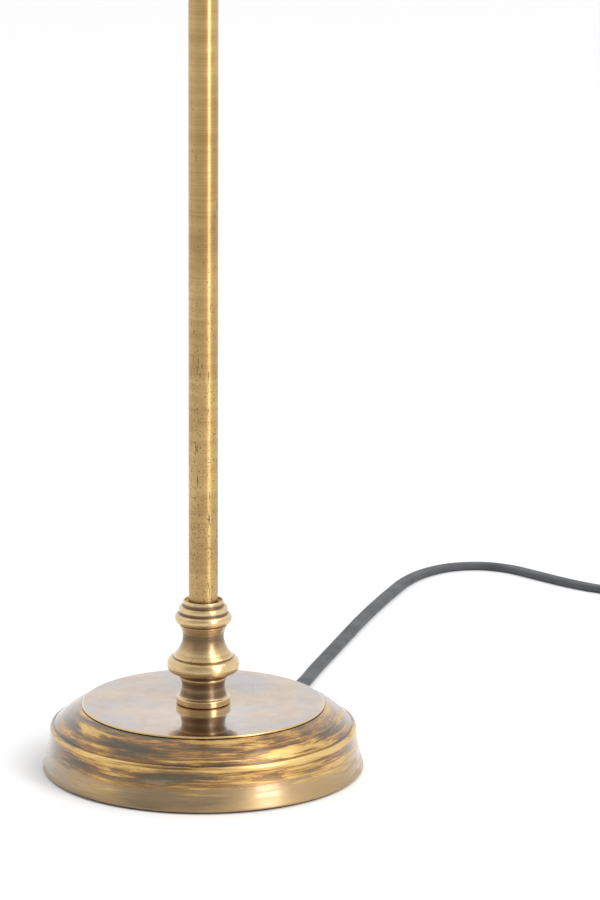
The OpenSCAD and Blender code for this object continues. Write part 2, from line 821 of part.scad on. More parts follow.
module lamp_filament() {
    color([0.35, 0.33, 0.32]) down_head() union() {
        for (side = [-1, 1])
            translate([side * 9, 0, 0]) bar(0.4, globe_z - 10.8, globe_z);
        translate([-9.4, -0.4, globe_z - 10.8]) cube([8.4, 0.8, 0.8]);
        translate([1, -0.4, globe_z - 10.8]) cube([8.4, 0.8, 0.8]);
        translate([0, 0, globe_z]) rotate_extrude(angle = 180) translate([9, 0]) circle(r = 0.5, $fn = 24);
    }
}

// ---------------------------------------------------------------------------
// switch

module switch_nut() {
    color("silver") down_head() translate([0, 0, switch_z]) along_x()
        hex_nut(10, switch_r + 0.2, cup_r, 1.2);
}

module switch_shaft() {
    color("silver") down_head() translate([0, 0, switch_z]) along_x() bar(switch_r, switch_x, cup_r + 9);
}

module switch_knob() {
    color([0.62, 0.48, 0.27]) down_head() translate([0, 0, switch_z]) along_x() difference() {
        union() {
            bar(5, cup_r + 1.2 + apart, cup_r + 4);
            translate([0, 0, cup_r + 3.5]) fluted(switch_knob_r, 6.5, 16, 0.7);
            bar(switch_knob_r - 2, cup_r + 9, cup_r + 11.4);
        }
        bar(switch_r + fit, 0, cup_r + 9);
    }
}

// ---------------------------------------------------------------------------
// leads inside the lamp

module column_lead() {
    color([0.15, 0.15, 0.16]) union() {
        rotate([0, 0, cord_az]) {
            translate([0, 0, lead_z]) along_x() bar(lead_r, lead_bend, relief_in);
            translate([lead_bend, 0, lead_z + lead_bend]) rotate([90, 180, 0])
                rotate_extrude(angle = 90) translate([lead_bend, 0]) circle(r = lead_r, $fn = 24);
        }
        bar(lead_r, lead_z + lead_bend, rod_z0 - travel_down - 5);
    }
}

module rod_lead() {
    color([0.15, 0.15, 0.16]) bar(lead_r, rod_z0 + 1, rod_z1 + fork_z + web_h);
}

module arm_lead() {
    color([0.15, 0.15, 0.16]) along_arm() bar(lead_r, pivot_r + 5, arm_reach + fork_z + web_h);
}

// ---------------------------------------------------------------------------
// mains cord, laid on the floor behind the base

// parallel ring sweep: a flat section, w across and h high, carried along points
function unit(v) = v / norm(v);
function tangent(p, i) = unit(p[min(i + 1, len(p) - 1)] - p[max(i - 1, 0)]);
function side_of(t) = unit([t.y, -t.x, 0.00001]);
function section(p, i, w, h, n) =
    let(t = tangent(p, i), s = side_of(t), u = cross(s, t))
    [for (k = [0:n - 1]) let(a = 360 * (k + 0.5) / n, c = cos(a), d = sin(a))
        p[i] + (w / 2) * sign(c) * pow(abs(c), 0.7) * s + (h / 2) * sign(d) * pow(abs(d), 0.7) * u];

module sweep(p, w, h, n) {
    m = len(p);
    points = [for (i = [0:m - 1]) each section(p, i, w, h, n)];
    walls = [for (i = [0:m - 2], k = [0:n - 1])
        [i * n + k, i * n + (k + 1) % n, (i + 1) * n + (k + 1) % n, (i + 1) * n + k]];
    ends = [[for (k = [n - 1:-1:0]) k], [for (k = [0:n - 1]) (m - 1) * n + k]];
    polyhedron(points, concat(walls, ends), convexity = 8);
}

// smooth line through the points of a route, with a number of steps between each pair
function between(p, i, u) =
    let(a = p[max(i - 1, 0)], b = p[i], c = p[i + 1], d = p[min(i + 2, len(p) - 1)])
    0.5 * (2 * b + (c - a) * u + (2 * a - 5 * b + 4 * c - d) * u * u
           + (3 * b - 3 * c + d - a) * u * u * u);
function smooth(p, steps) = concat(
    [for (i = [0:len(p) - 2], s = [0:steps - 1]) between(p, i, s / steps)], [p[len(p) - 1]]);

module cord_relief() {
    color([0.10, 0.10, 0.11]) at_outlet() union() {
        bar(6.8, relief_in, relief_in + 1.4);
        bar(5.5, relief_in + 1, relief_x0 + 1);
        bar(7.4, relief_x0, relief_x0 + relief_flange);
        translate([0, 0, relief_x0 + relief_flange - 0.1])
            cylinder(r1 = 5.8, r2 = relief_tip_r, h = relief_len + 0.1);
    }
}

module cord_run() {
    color([0.18, 0.18, 0.19]) sweep(smooth(ROUTE, 2), cord_w, cord_h, 8);
}

module cord_coil() {
    color([0.18, 0.18, 0.19]) translate([coil_x, coil_y, coil_z0]) rotate_extrude($fn = 96)
        translate([coil_mid_r, coil_h / 2]) union() {
            square([2 * coil_half_w, coil_h - 2], center = true);
            square([2 * coil_half_w - 2, coil_h], center = true);
        }
}

module cord_tail() {
    color([0.18, 0.18, 0.19]) sweep(smooth(TAIL, 3), cord_w, cord_h, 8);
}

module cord_tie() {
    color([0.05, 0.05, 0.05]) translate([coil_x, coil_y, 0]) rotate([0, 0, 200])
        translate([coil_mid_r, 0, coil_z0 + coil_h / 2]) rotate([90, 0, 0]) difference() {
            cube([2 * (coil_half_w + tie_gap + tie_t), coil_h + 2 * (fit + tie_t), 10], center = true);
            cube([2 * (coil_half_w + tie_gap), coil_h + 2 * fit, 30], center = true);
        }
}

module plug_body() {
    color([0.10, 0.10, 0.11]) translate([plug_x, plug_y, plug_z]) rotate([90, 0, 0]) union() {
        bar(plug_collar_r, 0, plug_collar_l + 1);
        translate([0, 0, plug_collar_l]) linear_extrude(plug_l) union() {
            square([plug_w - plug_t, plug_t], center = true);
            for (side = [-1, 1]) translate([side * (plug_w - plug_t) / 2, 0]) circle(d = plug_t);
        }
    }
}

module plug_blades() {
    color("gold") translate([plug_x, plug_y - plug_collar_l - plug_l, plug_z])
        for (side = [-1, 1]) translate([side * blade_gap / 2, 0, 0]) difference() {
            translate([-blade_t / 2, -blade_len, -blade_w / 2]) cube([blade_t, blade_len, blade_w]);
            translate([0, -blade_len + 4, 0]) along_x() bar(1.5, -3, 3);
        }
}

// ---------------------------------------------------------------------------

base_cover();
base_disc();
base_weight();
base_felt();
base_washer();
base_nut();
center_nipple();
spindle();
column_tube();
tube_coupler();
guide_bush();
column_collar();
clamp_screw();
sliding_rod();
stop_sleeve();
rod_spigot();
swivel_washer();
swivel_nut();
swivel_fork();
arm_bolt();
arm_slip_washers();
arm_knob();
arm_tongue();
arm_tube();
arm_spigot();
link_washer();
link_nut();
link_fork();
shade_bolt();
shade_slip_washers();
shade_cap_nut();
shade_tongue();
head_nipple();
head_nut();
socket_cup();
dome_shade();
shade_ring();
socket_shell();
socket_screws();
screw_shell();
socket_contact();
lamp_base();
lamp_insulator();
lamp_contact();
lamp_globe();
lamp_stem();
lamp_filament();
switch_nut();
switch_shaft();
switch_knob();
column_lead();
rod_lead();
arm_lead();
cord_relief();
cord_run();
cord_coil();
cord_tail();
cord_tie();
plug_body();
plug_blades();
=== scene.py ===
# %% [markdown]
# # A pharmacy floor lamp in old brass
# The lamp is a weighted round base, a turned spindle, a telescoping mast, a tilting arm and a
# dome shade on a second knuckle. Its sizes, joints and moving bodies come from the packed
# model. This script gives every piece its final surface and finish: most pieces are turned
# again as fine surfaces, a few machined ones are the model's own solids with eased edges.

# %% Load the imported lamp
import json
import math

import bmesh
import bpy
import numpy as np
from mathutils import Matrix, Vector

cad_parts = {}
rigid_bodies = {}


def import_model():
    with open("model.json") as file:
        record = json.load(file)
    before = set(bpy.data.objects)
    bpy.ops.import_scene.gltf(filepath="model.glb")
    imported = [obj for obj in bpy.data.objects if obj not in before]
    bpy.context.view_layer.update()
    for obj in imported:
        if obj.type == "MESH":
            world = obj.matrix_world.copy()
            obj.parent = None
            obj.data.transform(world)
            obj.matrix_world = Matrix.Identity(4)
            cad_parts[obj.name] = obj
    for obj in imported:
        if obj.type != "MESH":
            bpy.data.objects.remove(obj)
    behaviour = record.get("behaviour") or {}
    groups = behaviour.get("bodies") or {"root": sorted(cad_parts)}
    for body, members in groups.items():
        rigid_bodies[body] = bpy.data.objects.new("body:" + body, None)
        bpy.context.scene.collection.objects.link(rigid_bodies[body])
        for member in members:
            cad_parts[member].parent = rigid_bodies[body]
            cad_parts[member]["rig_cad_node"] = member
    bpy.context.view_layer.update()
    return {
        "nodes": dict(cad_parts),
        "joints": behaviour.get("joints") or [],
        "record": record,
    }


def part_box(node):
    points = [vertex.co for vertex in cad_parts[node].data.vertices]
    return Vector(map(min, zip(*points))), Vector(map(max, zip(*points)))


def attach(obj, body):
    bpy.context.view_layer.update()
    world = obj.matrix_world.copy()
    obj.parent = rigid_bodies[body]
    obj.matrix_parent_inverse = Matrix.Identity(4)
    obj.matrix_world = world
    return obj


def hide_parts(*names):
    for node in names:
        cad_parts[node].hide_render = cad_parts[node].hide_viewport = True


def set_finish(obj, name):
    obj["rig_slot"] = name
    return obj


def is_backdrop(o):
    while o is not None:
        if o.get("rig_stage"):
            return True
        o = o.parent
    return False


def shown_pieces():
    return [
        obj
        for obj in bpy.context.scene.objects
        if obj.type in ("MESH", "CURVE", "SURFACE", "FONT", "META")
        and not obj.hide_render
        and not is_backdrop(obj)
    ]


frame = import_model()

MM = 0.001
FULL_TURN = 2 * np.pi
scene = bpy.context.scene
joints = {joint["name"]: joint for joint in frame["joints"]}

# %% [markdown]
# ## The camera
# A long lens a little over two metres away looks slightly down on the base. A long lens keeps
# the round base from bulging, and the rim stays a clean ellipse. Depth of field stays off, so
# that every view is sharp.

# %% Camera
CAMERA_PLACE = (0.052034, -2.357, 0.73499)
LENS = 180
LOOKS_DOWN = 13.3
LEANS = 0.3

camera = bpy.data.objects.new("camera", bpy.data.cameras.new("camera"))
camera.data.sensor_width = 36
camera.data.lens = LENS
camera.data.clip_end = 100
tilt = Matrix.Rotation(math.radians(90 - LOOKS_DOWN), 4, "X") @ Matrix.Rotation(math.radians(LEANS), 4, "Z")
camera.matrix_world = Matrix.Translation(CAMERA_PLACE) @ tilt
scene.collection.objects.link(camera)
scene.camera = camera

# %% [markdown]
# ## Surfaces from formulas
# A turned piece is an outline of radius and height, carried round an axis. A cord is a section
# carried along a path. Both are grids of points, so whole arrays are worked out at once and
# handed to the mesh. The helpers below build the grids, close their ends, and set each piece
# in its place on the lamp.


# %% Grids, places and pieces
def grid_faces(rows, columns, ring=False):
    """Quads of a grid whose columns close into a ring: corner (i, j) has the index i * columns + j."""
    i = np.arange(rows if ring else rows - 1)[:, None] * columns
    up = (i + columns) % (rows * columns)
    j = np.arange(columns)[None, :]
    k = (j + 1) % columns
    return np.stack([i + j, i + k, up + k, up + j], -1).reshape(-1, 4).tolist()


def fan(centre, first, columns, turned):
    """Triangles from one centre point to the ring of points that starts at index first."""
    j = np.arange(columns)
    k = (j + 1) % columns
    pair = (first + k, first + j) if turned else (first + j, first + k)
    return np.stack([np.full(columns, centre), *pair], -1).tolist()


def seat(origin, along, across):
    """The place of a piece drawn about its own Z: its axis points along, and its X points across."""
    return np.array(origin, float), np.array([across, np.cross(along, across), along], float)


def piece(name, points, faces, place, body, stands_for, slot, marks=None, sharp=40):
    """Makes a mesh of points and faces, sets it in its place and lets it ride on a body of the lamp."""
    origin, axes = place
    mesh = bpy.data.meshes.new(name)
    mesh.from_pydata((origin + points @ axes).tolist(), [], faces)
    for mark, values in (marks or {}).items():
        layer = mesh.attributes.new(mark, "FLOAT", "POINT")
        layer.data.foreach_set("value", np.asarray(values, np.float32))
    mesh.polygons.foreach_set("use_smooth", np.ones(len(mesh.polygons), bool))
    mesh.update()
    mesh.set_sharp_from_angle(angle=math.radians(sharp))
    made = bpy.data.objects.new(name, mesh)
    scene.collection.objects.link(made)
    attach(made, body)
    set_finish(made, slot)
    if stands_for:
        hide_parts(*stands_for)
    return made


# %% Swept pieces
def curved(points, steps):
    """A smooth line through points: between b and c, with a before and d after, it is
    (2b + (c - a)u + (2a - 5b + 4c - d)u^2 + (3b - 3c + d - a)u^3) / 2 for u from 0 to 1."""
    p = np.vstack([points[:1], points, points[-1:]]).astype(float)
    a, b, c, d = (p[i:len(p) - 3 + i, None, :] for i in range(4))
    u = (np.arange(steps) / steps)[None, :, None]
    line = 0.5 * (2 * b + (c - a) * u + (2 * a - 5 * b + 4 * c - d) * u**2 + (3 * b - 3 * c + d - a) * u**3)
    return np.vstack([line.reshape(-1, 3), points[-1]])


def directions(path):
    """Unit vectors along a path, each from the point before to the point after."""
    step = np.gradient(path, axis=0)
    return step / np.linalg.norm(step, axis=1)[:, None]


def swept(path, section, roll):
    """Carries a flat section along a path. Its width lies level across the path and is then
    turned about the path by roll: point = path + x (side cos + up sin) + y (up cos - side sin)."""
    ahead = directions(path)
    side = np.cross(ahead, [0, 0, 1])
    side /= np.linalg.norm(side, axis=1)[:, None]
    up = np.cross(side, ahead)
    c, s = np.cos(roll)[:, None], np.sin(roll)[:, None]
    wide, high = side * c + up * s, up * c - side * s
    x, y = section[None, :, 0, None], section[None, :, 1, None]
    rings = path[:, None, :] + x * wide[:, None, :] + y * high[:, None, :]
    rows, columns = rings.shape[:2]
    points = np.vstack([rings.reshape(-1, 3), path[0], path[-1]])
    last = (rows - 1) * columns
    ends = fan(rows * columns, 0, columns, True) + fan(rows * columns + 1, last, columns, False)
    return points, grid_faces(rows, columns) + ends


def flat_section(width, height, count=36):
    """A flat cord's section: x = w/2 sign(c) |c|^0.55 and y = h/2 sign(s) |s|^0.55, with c and s the
    cosine and sine of an angle that goes round once."""
    a = -FULL_TURN * (np.arange(count) + 0.5) / count
    c, s = np.cos(a), np.sin(a)
    x, y = (np.sign(v) * np.abs(v) ** 0.55 for v in (c, s))
    return np.stack([width / 2 * x, height / 2 * y], -1)


def easing(x, low, high):
    """Goes from 0 at low to 1 at high along 3t^2 - 2t^3."""
    t = np.clip((x - low) / (high - low), 0, 1)
    return t * t * (3 - 2 * t)


# %% [markdown]
# ## The mains cord
# The lamp has a flat two-core cord, two metres from the strain relief to the plug, which is
# the usual length for a floor lamp of this kind. It drops from the outlet, crosses the floor
# in one lazy bend and is wound into a coil, three turns wide and two layers high. A flat cord is
# wound on edge, so the section turns by a quarter on its way into the coil and back again before the
# plug. The path is one line, so the cord is one mesh.

# %% Cord route
CORD_W, CORD_H = 7.8 * MM, 4.2 * MM
OUTLET_TURN = math.radians(70)
RELIEF_REACH = 30.2 * MM
FLOOR_LINE = 2.3
rim_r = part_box("base_cover")[1].x
outlet_z = 10 * MM
relief_end = rim_r + RELIEF_REACH
outlet_way = np.array([math.cos(OUTLET_TURN), math.sin(OUTLET_TURN), 0])
cord_exit = outlet_way * relief_end + [0, 0, outlet_z]
route = np.array([
    [44.5, 122.5, 8.6], [48.5, 134, 5.4], [52, 145, 3.2],
    [56, 160, FLOOR_LINE], [62, 185, FLOOR_LINE], [68.5, 210, FLOOR_LINE], [75, 235, FLOOR_LINE],
    [81.5, 260, FLOOR_LINE], [88, 285, FLOOR_LINE], [95, 310, FLOOR_LINE], [102.5, 335, FLOOR_LINE],
    [110.5, 360, FLOOR_LINE], [119, 384, FLOOR_LINE], [131, 405, FLOOR_LINE], [148, 420, FLOOR_LINE],
    [168, 424, FLOOR_LINE], [186, 417, FLOOR_LINE], [201, 403, FLOOR_LINE], [215, 389, FLOOR_LINE],
    [230, 376, FLOOR_LINE], [247, 366, FLOOR_LINE], [266, 361, 3], [286, 360, 4.2],
    [306, 359.4, 4.9],
]) * MM
tail = np.array([
    [359.4, 306, 12.8], [360, 292, 12.2], [360, 278, 10.6], [360, 266, 9.2], [360, 254, 8.5],
]) * MM

# %% Coil and cord
COIL_CENTRE = np.array([312, 312]) * MM
COIL_R = 47.4 * MM
TURN_PITCH = 4.4 * MM
LOW_LAYER, HIGH_LAYER = 5.0 * MM, 13.0 * MM
TURNS = 5.25
POINTS_A_TURN = 24
CROSSOVER = 0.28
PATH_STEPS = 4
TWIST_IN, TWIST_OUT = 20, 16
FLOOR_GAP = 0.05 * MM

turn = np.linspace(0, TURNS, int(TURNS * POINTS_A_TURN) + 1)
crossing = easing(turn % 1, 1 - CROSSOVER, 1) + np.floor(turn)
inwards = np.minimum(crossing, 2) - np.clip(crossing - 3, 0, 2)
coil_r = COIL_R - TURN_PITCH * inwards
coil_z = LOW_LAYER + (HIGH_LAYER - LOW_LAYER) * np.clip(crossing - 2, 0, 1)
coil = np.stack([
    COIL_CENTRE[0] + coil_r * np.sin(FULL_TURN * turn),
    COIL_CENTRE[1] + coil_r * np.cos(FULL_TURN * turn),
    coil_z,
], -1)
path = curved(np.vstack([cord_exit, route, coil, tail]), PATH_STEPS)
run_end = PATH_STEPS * (len(route) + 1)
coil_end = PATH_STEPS * (len(route) + 1 + len(coil))
place_on_path = np.arange(len(path))
on_edge = easing(place_on_path, run_end - TWIST_IN, run_end)
on_edge -= easing(place_on_path, coil_end, coil_end + TWIST_OUT)
roll = on_edge * np.pi / 2
section = flat_section(CORD_W, CORD_H)
reach_down = np.abs(section @ np.stack([np.sin(roll), np.cos(roll)])).max(0)
path[:, 2] = np.maximum(path[:, 2], reach_down + FLOOR_GAP)
points, faces = swept(path, section, roll)
world_place = seat((0, 0, 0), (0, 0, 1), (1, 0, 0))
cord = piece("mains_cord", points, faces, world_place, "base_and_column",
             ["cord_run", "cord_coil", "cord_tail"], "cord_jacket")
cord_length = np.linalg.norm(np.diff(path, axis=0), axis=1).sum()
print("cord is", round(cord_length, 3), "m long")

# %% [markdown]
# ## Turned outlines
# A lathe hand works with a few kinds of curve: a quarter round that leaves along the axis, one
# that leaves across it, a long taper that settles into a straight, and a slightly bowed line.
# Every corner is then eased by a small radius, because a real edge always catches a thin line
# of light. The outline also tells where the colour is darkened: a point that lies deeper than its
# neighbours is a recess, darkened partly as tarnish and partly as painted shade, and one that
# stands proud is an edge that gets rubbed.


# %% Curves of an outline
def steps_to(a, b, n):
    """Start, difference and n + 1 shares from 0 to 1 for a curve from a to b."""
    a, b = np.array(a, float), np.array(b, float)
    return a, b - a, np.linspace(0, 1, n + 1)


def rise(a, b, n=14):
    """Quarter ellipse that leaves a along the axis: radius by 1 - cos t, height by sin t."""
    a, d, u = steps_to(a, b, n)
    t = u * np.pi / 2
    return np.stack([a[0] + d[0] * (1 - np.cos(t)), a[1] + d[1] * np.sin(t)], -1)


def spread(a, b, n=14):
    """Quarter ellipse that leaves a across the axis: radius by sin t, height by 1 - cos t."""
    a, d, u = steps_to(a, b, n)
    t = u * np.pi / 2
    return np.stack([a[0] + d[0] * np.sin(t), a[1] + d[1] * (1 - np.cos(t))], -1)


def settle(a, b, power, n=24):
    """Runs from a into b with the radius easing off as (1 - u) to a power."""
    a, d, u = steps_to(a, b, n)
    return np.stack([a[0] + d[0] * (1 - (1 - u) ** power), a[1] + d[1] * u], -1)


def bowed(a, b, bulge, n=16):
    """Line from a to b with its middle pushed out by bulge along 4u(1 - u)."""
    a, d, u = steps_to(a, b, n)
    out = np.array([d[1], -d[0]]) / np.hypot(*d)
    return a + u[:, None] * d + (4 * bulge * u * (1 - u))[:, None] * out


def eased(outline, radius, bend=18):
    """Rounds each corner that bends by more than `bend` degrees with a quadratic curve of that reach."""
    p = np.vstack([np.atleast_2d(q) for q in outline]).astype(float)
    keep = np.r_[True, np.linalg.norm(np.diff(p, axis=0), axis=1) > 1e-4]
    p = p[keep]
    before, after = p[:-2] - p[1:-1], p[2:] - p[1:-1]
    lb, la = np.linalg.norm(before, axis=1), np.linalg.norm(after, axis=1)
    turning = 180 - np.degrees(np.arccos(np.clip((before * after).sum(1) / (lb * la), -1, 1)))
    u = np.linspace(0, 1, 5)[:, None]
    made = [p[:1]]
    for corner, b, a, m, n, sharp in zip(p[1:-1], before, after, lb, la, turning > bend):
        start, end = corner + b * min(radius / m, 0.45), corner + a * min(radius / n, 0.45)
        made.append((1 - u) ** 2 * start + 2 * u * (1 - u) * corner + u**2 * end if sharp else corner[None])
    return np.vstack([*made, p[-1:]])


# %% Turning on the lathe
def lathe(outline, around, ripple=None):
    """Point (i, j) is (r cos a, r sin a, z) with r and z of outline point i and a = 2 pi j / around.
    An end on the axis closes in a fan, ends that meet close into a ring. The ripple, a function
    of the angle, radius and height, is taken from the radius."""
    outline = np.asarray(outline, float)
    ring = np.allclose(outline[0], outline[-1], atol=1e-7)
    if ring:
        outline = outline[:-1]
    poles = [end for end in (0, -1) if outline[end, 0] < 1e-7]
    rows = outline[outline[:, 0] >= 1e-7]
    a = FULL_TURN * np.arange(around)[None, :] / around
    r, z = rows[:, :1], rows[:, 1:]
    r = r - (0 if ripple is None else ripple(a, r, z))
    points = np.stack([r * np.cos(a), r * np.sin(a), z + 0 * a], -1).reshape(-1, 3)
    faces = grid_faces(len(rows), around, ring)
    for end in poles:
        faces += fan(len(points), 0 if end == 0 else (len(rows) - 1) * around, around, end == 0)
        points = np.vstack([points, [0, 0, outline[end, 1]]])
    return points, faces


def depth_marks(outline, points, reach):
    """How far each point lies under (recess) or over (edge) the mean outline within reach."""
    outline = np.asarray(outline, float)
    where = np.r_[0, np.cumsum(np.linalg.norm(np.diff(outline, axis=0), axis=1))]
    even = np.arange(0, where[-1], reach / 12)
    radius = np.interp(even, where, outline[:, 0])
    padded = np.pad(radius, 12, mode="reflect", reflect_type="odd")
    mean = np.convolve(padded, np.ones(25) / 25, "valid")
    under = np.interp(where, even, mean - radius)
    at = np.stack([np.hypot(points[:, 0], points[:, 1]), points[:, 2]], -1)
    nearest = np.abs(at[:, None, 0] - outline[None, :, 0]) + np.abs(at[:, None, 1] - outline[None, :, 1])
    depth = under[nearest.argmin(1)] / (0.12 * reach)
    return {"recess": np.clip(depth, 0, 1), "edge": np.clip(-depth, 0, 1), "along": points[:, 2]}


def turned(name, outline, place, body, stands_for, slot, around=96, ripple=None, ease=0.25, reach=5 * MM):
    """A turned piece: its outline in millimetres, eased, carried round its axis and marked for its finish."""
    outline = eased(outline, ease) * MM
    points, faces = lathe(outline, around, ripple)
    rows = len(points) // around
    marks = depth_marks(outline, points[:rows * around:around], reach)
    spare = points[rows * around:, 2]
    spread_marks = {k: np.r_[np.repeat(v, around), np.zeros(len(spare))] for k, v in marks.items()}
    spread_marks["along"] = points[:, 2]
    made = piece(name, points, faces, place, body, stands_for, slot, spread_marks)
    print(name, len(points), "points")
    return made


# %% [markdown]
# ## Writing a finish
# Every finish is a small network of shader nodes. Written as formulas it stays readable, so a
# socket is wrapped in a class whose +, -, * and / add Math nodes. Any other kind of node comes
# from one method that takes its type, its settings and what its sockets hold. What is the
# same all over a surface is set on the shader itself.


# %% Sockets in arithmetic
class Signal:
    """A socket of a node. Arithmetic with it adds Math nodes, also where it stands second."""

    def __init__(self, finish, socket):
        self.finish = finish
        self.socket = socket

    def math(self, operation, first, second):
        return self.finish.node("Math", {"operation": operation}, {0: first, 1: second})

    def __add__(self, other):
        return self.math("ADD", self, other)

    def __sub__(self, other):
        return self.math("SUBTRACT", self, other)

    def __rsub__(self, other):
        return self.math("SUBTRACT", other, self)

    def __mul__(self, other):
        return self.math("MULTIPLY", self, other)

    __radd__ = __add__
    __rmul__ = __mul__


class Finish:
    """A network of nodes in the making, for a material or for the world around the lamp."""

    def __init__(self, owner, shader, **constants):
        owner.use_nodes = True
        self.nodes, self.links = owner.node_tree.nodes, owner.node_tree.links
        self.shader = self.nodes[shader]
        for name, value in constants.items():
            self.shader.inputs[name.replace("_", " ")].default_value = value

    def feed(self, socket, value):
        if isinstance(value, Signal):
            self.links.new(value.socket, socket)
        else:
            socket.default_value = value

    def node(self, kind, settings=None, values=None, out=0):
        """Adds a node of any type: first its settings, a ramp's stops among them, then its sockets."""
        made = self.nodes.new("ShaderNode" + kind)
        for name, value in (settings or {}).items():
            if name == "stops":
                while len(made.color_ramp.elements) < len(value):
                    made.color_ramp.elements.new(0.5)
                for element, (position, colour) in zip(made.color_ramp.elements, value):
                    element.position = position
                    element.color = colour
            else:
                setattr(made, name, value)
        for name, value in (values or {}).items():
            self.feed(made.inputs[name], value)
        return Signal(self, made.outputs[out])

    def place(self):
        return self.node("TexCoord", out="Object")

    def mark(self, name):
        return self.node("Attribute", {"attribute_name": name}, out="Fac")

    def stretched(self, vector, scale):
        return self.node("VectorMath", {"operation": "MULTIPLY"}, {0: vector, 1: scale})

    def part_of(self, vector, axis):
        return self.node("SeparateXYZ", None, {0: vector}, out=axis)

    def noise(self, vector, scale, detail=4, rough=0.55, warp=0):
        values = {"Vector": vector, "Scale": scale, "Detail": detail, "Roughness": rough, "Distortion": warp}
        return self.node("TexNoise", None, values)

    def between(self, value, low, high):
        """0 below low, 1 above high, and smooth in between; the other way round if low is the larger."""
        return self.node("MapRange", {"interpolation_type": "SMOOTHSTEP"}, {0: value, 1: low, 2: high})

    def mix(self, share, first, second):
        return self.node("Mix", {"data_type": "RGBA"}, {0: share, 6: first, 7: second}, out=2)

    def ramp(self, value, *stops):
        return self.node("ValToRGB", {"stops": stops}, {0: value})

    def bump(self, height, distance, strength=1):
        values = {"Height": height, "Distance": distance, "Strength": strength}
        return self.node("Bump", None, values, "Normal")

    def paint(self, **sockets):
        for name, value in sockets.items():
            self.feed(self.shader.inputs[name.replace("_", " ")], value)


def tint(red, green, blue):
    """A colour given as on a screen, 0 to 255, turned into the linear light that shaders use."""
    s = np.array([red, green, blue]) / 255
    return (*np.where(s <= 0.04045, s / 12.92, ((s + 0.055) / 1.055) ** 2.4), 1)


FINISHES = {}


def finish_for(slot, **constants):
    """Starts the finish of one of the record's material slots."""
    FINISHES[slot] = bpy.data.materials.new(slot)
    return Finish(FINISHES[slot], "Principled BSDF", **constants)


# %% [markdown]
# ## Studio
# The floor is a plain pale sheet. The light is a pale room with a darker side behind the
# viewer, which gives the metal its shade, a tall soft strip at the right that draws the long
# highlight on the column, and a large soft box high up on the right for the soft shadow.

# %% Floor
FLOOR_HALF = 40

floor_mesh = bpy.data.meshes.new("studio_floor")
corners = [(-FLOOR_HALF, -FLOOR_HALF, 0), (FLOOR_HALF, -FLOOR_HALF, 0),
           (FLOOR_HALF, FLOOR_HALF, 0), (-FLOOR_HALF, FLOOR_HALF, 0)]
floor_mesh.from_pydata(corners, [], [(0, 1, 2, 3)])
floor = bpy.data.objects.new("studio_floor", floor_mesh)
scene.collection.objects.link(floor)
floor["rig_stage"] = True
paper = bpy.data.materials.new("paper")
sheet = Finish(paper, "Principled BSDF", Roughness=0.7, Specular_IOR_Level=0.2)
grain = sheet.noise(sheet.place(), 900, 3)
sheet.paint(Base_Color=sheet.mix(grain, (0.90, 0.90, 0.905, 1), (0.93, 0.93, 0.935, 1)))
floor_mesh.materials.append(paper)

# %% World and lamps
WORLD_LIGHT = 1.12
DARK_SIDE = (-0.30, -0.92, 0.25)

scene.view_settings.view_transform = "Standard"
world = bpy.data.worlds.new("studio")
scene.world = world
room = Finish(world, "Background", Strength=WORLD_LIGHT)
way = room.node("TexCoord", out="Generated")
facing = room.node("VectorMath", {"operation": "DOT_PRODUCT"}, {0: way, 1: DARK_SIDE}, out="Value")
shade = room.between(facing, 0.50, 0.9)
room.paint(Color=room.mix(shade, (1, 1, 1, 1), (0.48, 0.48, 0.49, 1)))


def soft_box(name, place, aim, size, power):
    """A soft lamp at a place, turned to the point it is aimed at. It isn't seen itself."""
    data = bpy.data.lights.new(name, "AREA")
    data.shape = "RECTANGLE"
    data.size, data.size_y = size
    data.energy = power
    lamp = bpy.data.objects.new(name, data)
    scene.collection.objects.link(lamp)
    to = Matrix.Translation(place).to_translation() - Matrix.Translation(aim).to_translation()
    lamp.matrix_world = Matrix.Translation(place) @ to.to_track_quat("Z", "Y").to_matrix().to_4x4()
    lamp.visible_camera = False


soft_box("strip", (0.95, -0.88, 0.75), (0, 0, 0.55), (0.42, 1.4), 9)
soft_box("high_box", (1.9, -0.4, 3.0), (0, 0, 0.2), (1.8, 1.8), 22)

# %% [markdown]
# ## Old brass
# Brass is copper with zinc: a warm yellow metal that turns brown, then olive, where air and
# hands reach it. The tubes are drawn and brushed, the spindle and knuckles are turned, the
# base is spun and lacquered. All of them share one recipe: a metal whose colour wanders
# slowly, fine lines that run round the piece, a dark colour in the recesses that is partly
# tarnish and partly painted shade, and bare metal on the edges. The lines follow the `along`
# mark, so they run round a piece however it lies.
# The highlight of such a grooved surface is drawn out across the grooves, which the shader
# does with anisotropy.


# %% Brass recipe
BRUSHED = {"Metallic": 1, "Anisotropic": 0.75, "Anisotropic_Rotation": 0.25, "Coat_Roughness": 0.25}


def grooves(finish, fine, length=25):
    """Noise that runs round a piece: nearly constant along a groove, quick across it."""
    here = finish.stretched(finish.place(), (length, length, length))
    lift = finish.node("CombineXYZ", None, {2: finish.mark("along") * fine})
    return finish.noise(finish.node("VectorMath", {"operation": "ADD"}, {0: here, 1: lift}), 1, 5, 0.6)


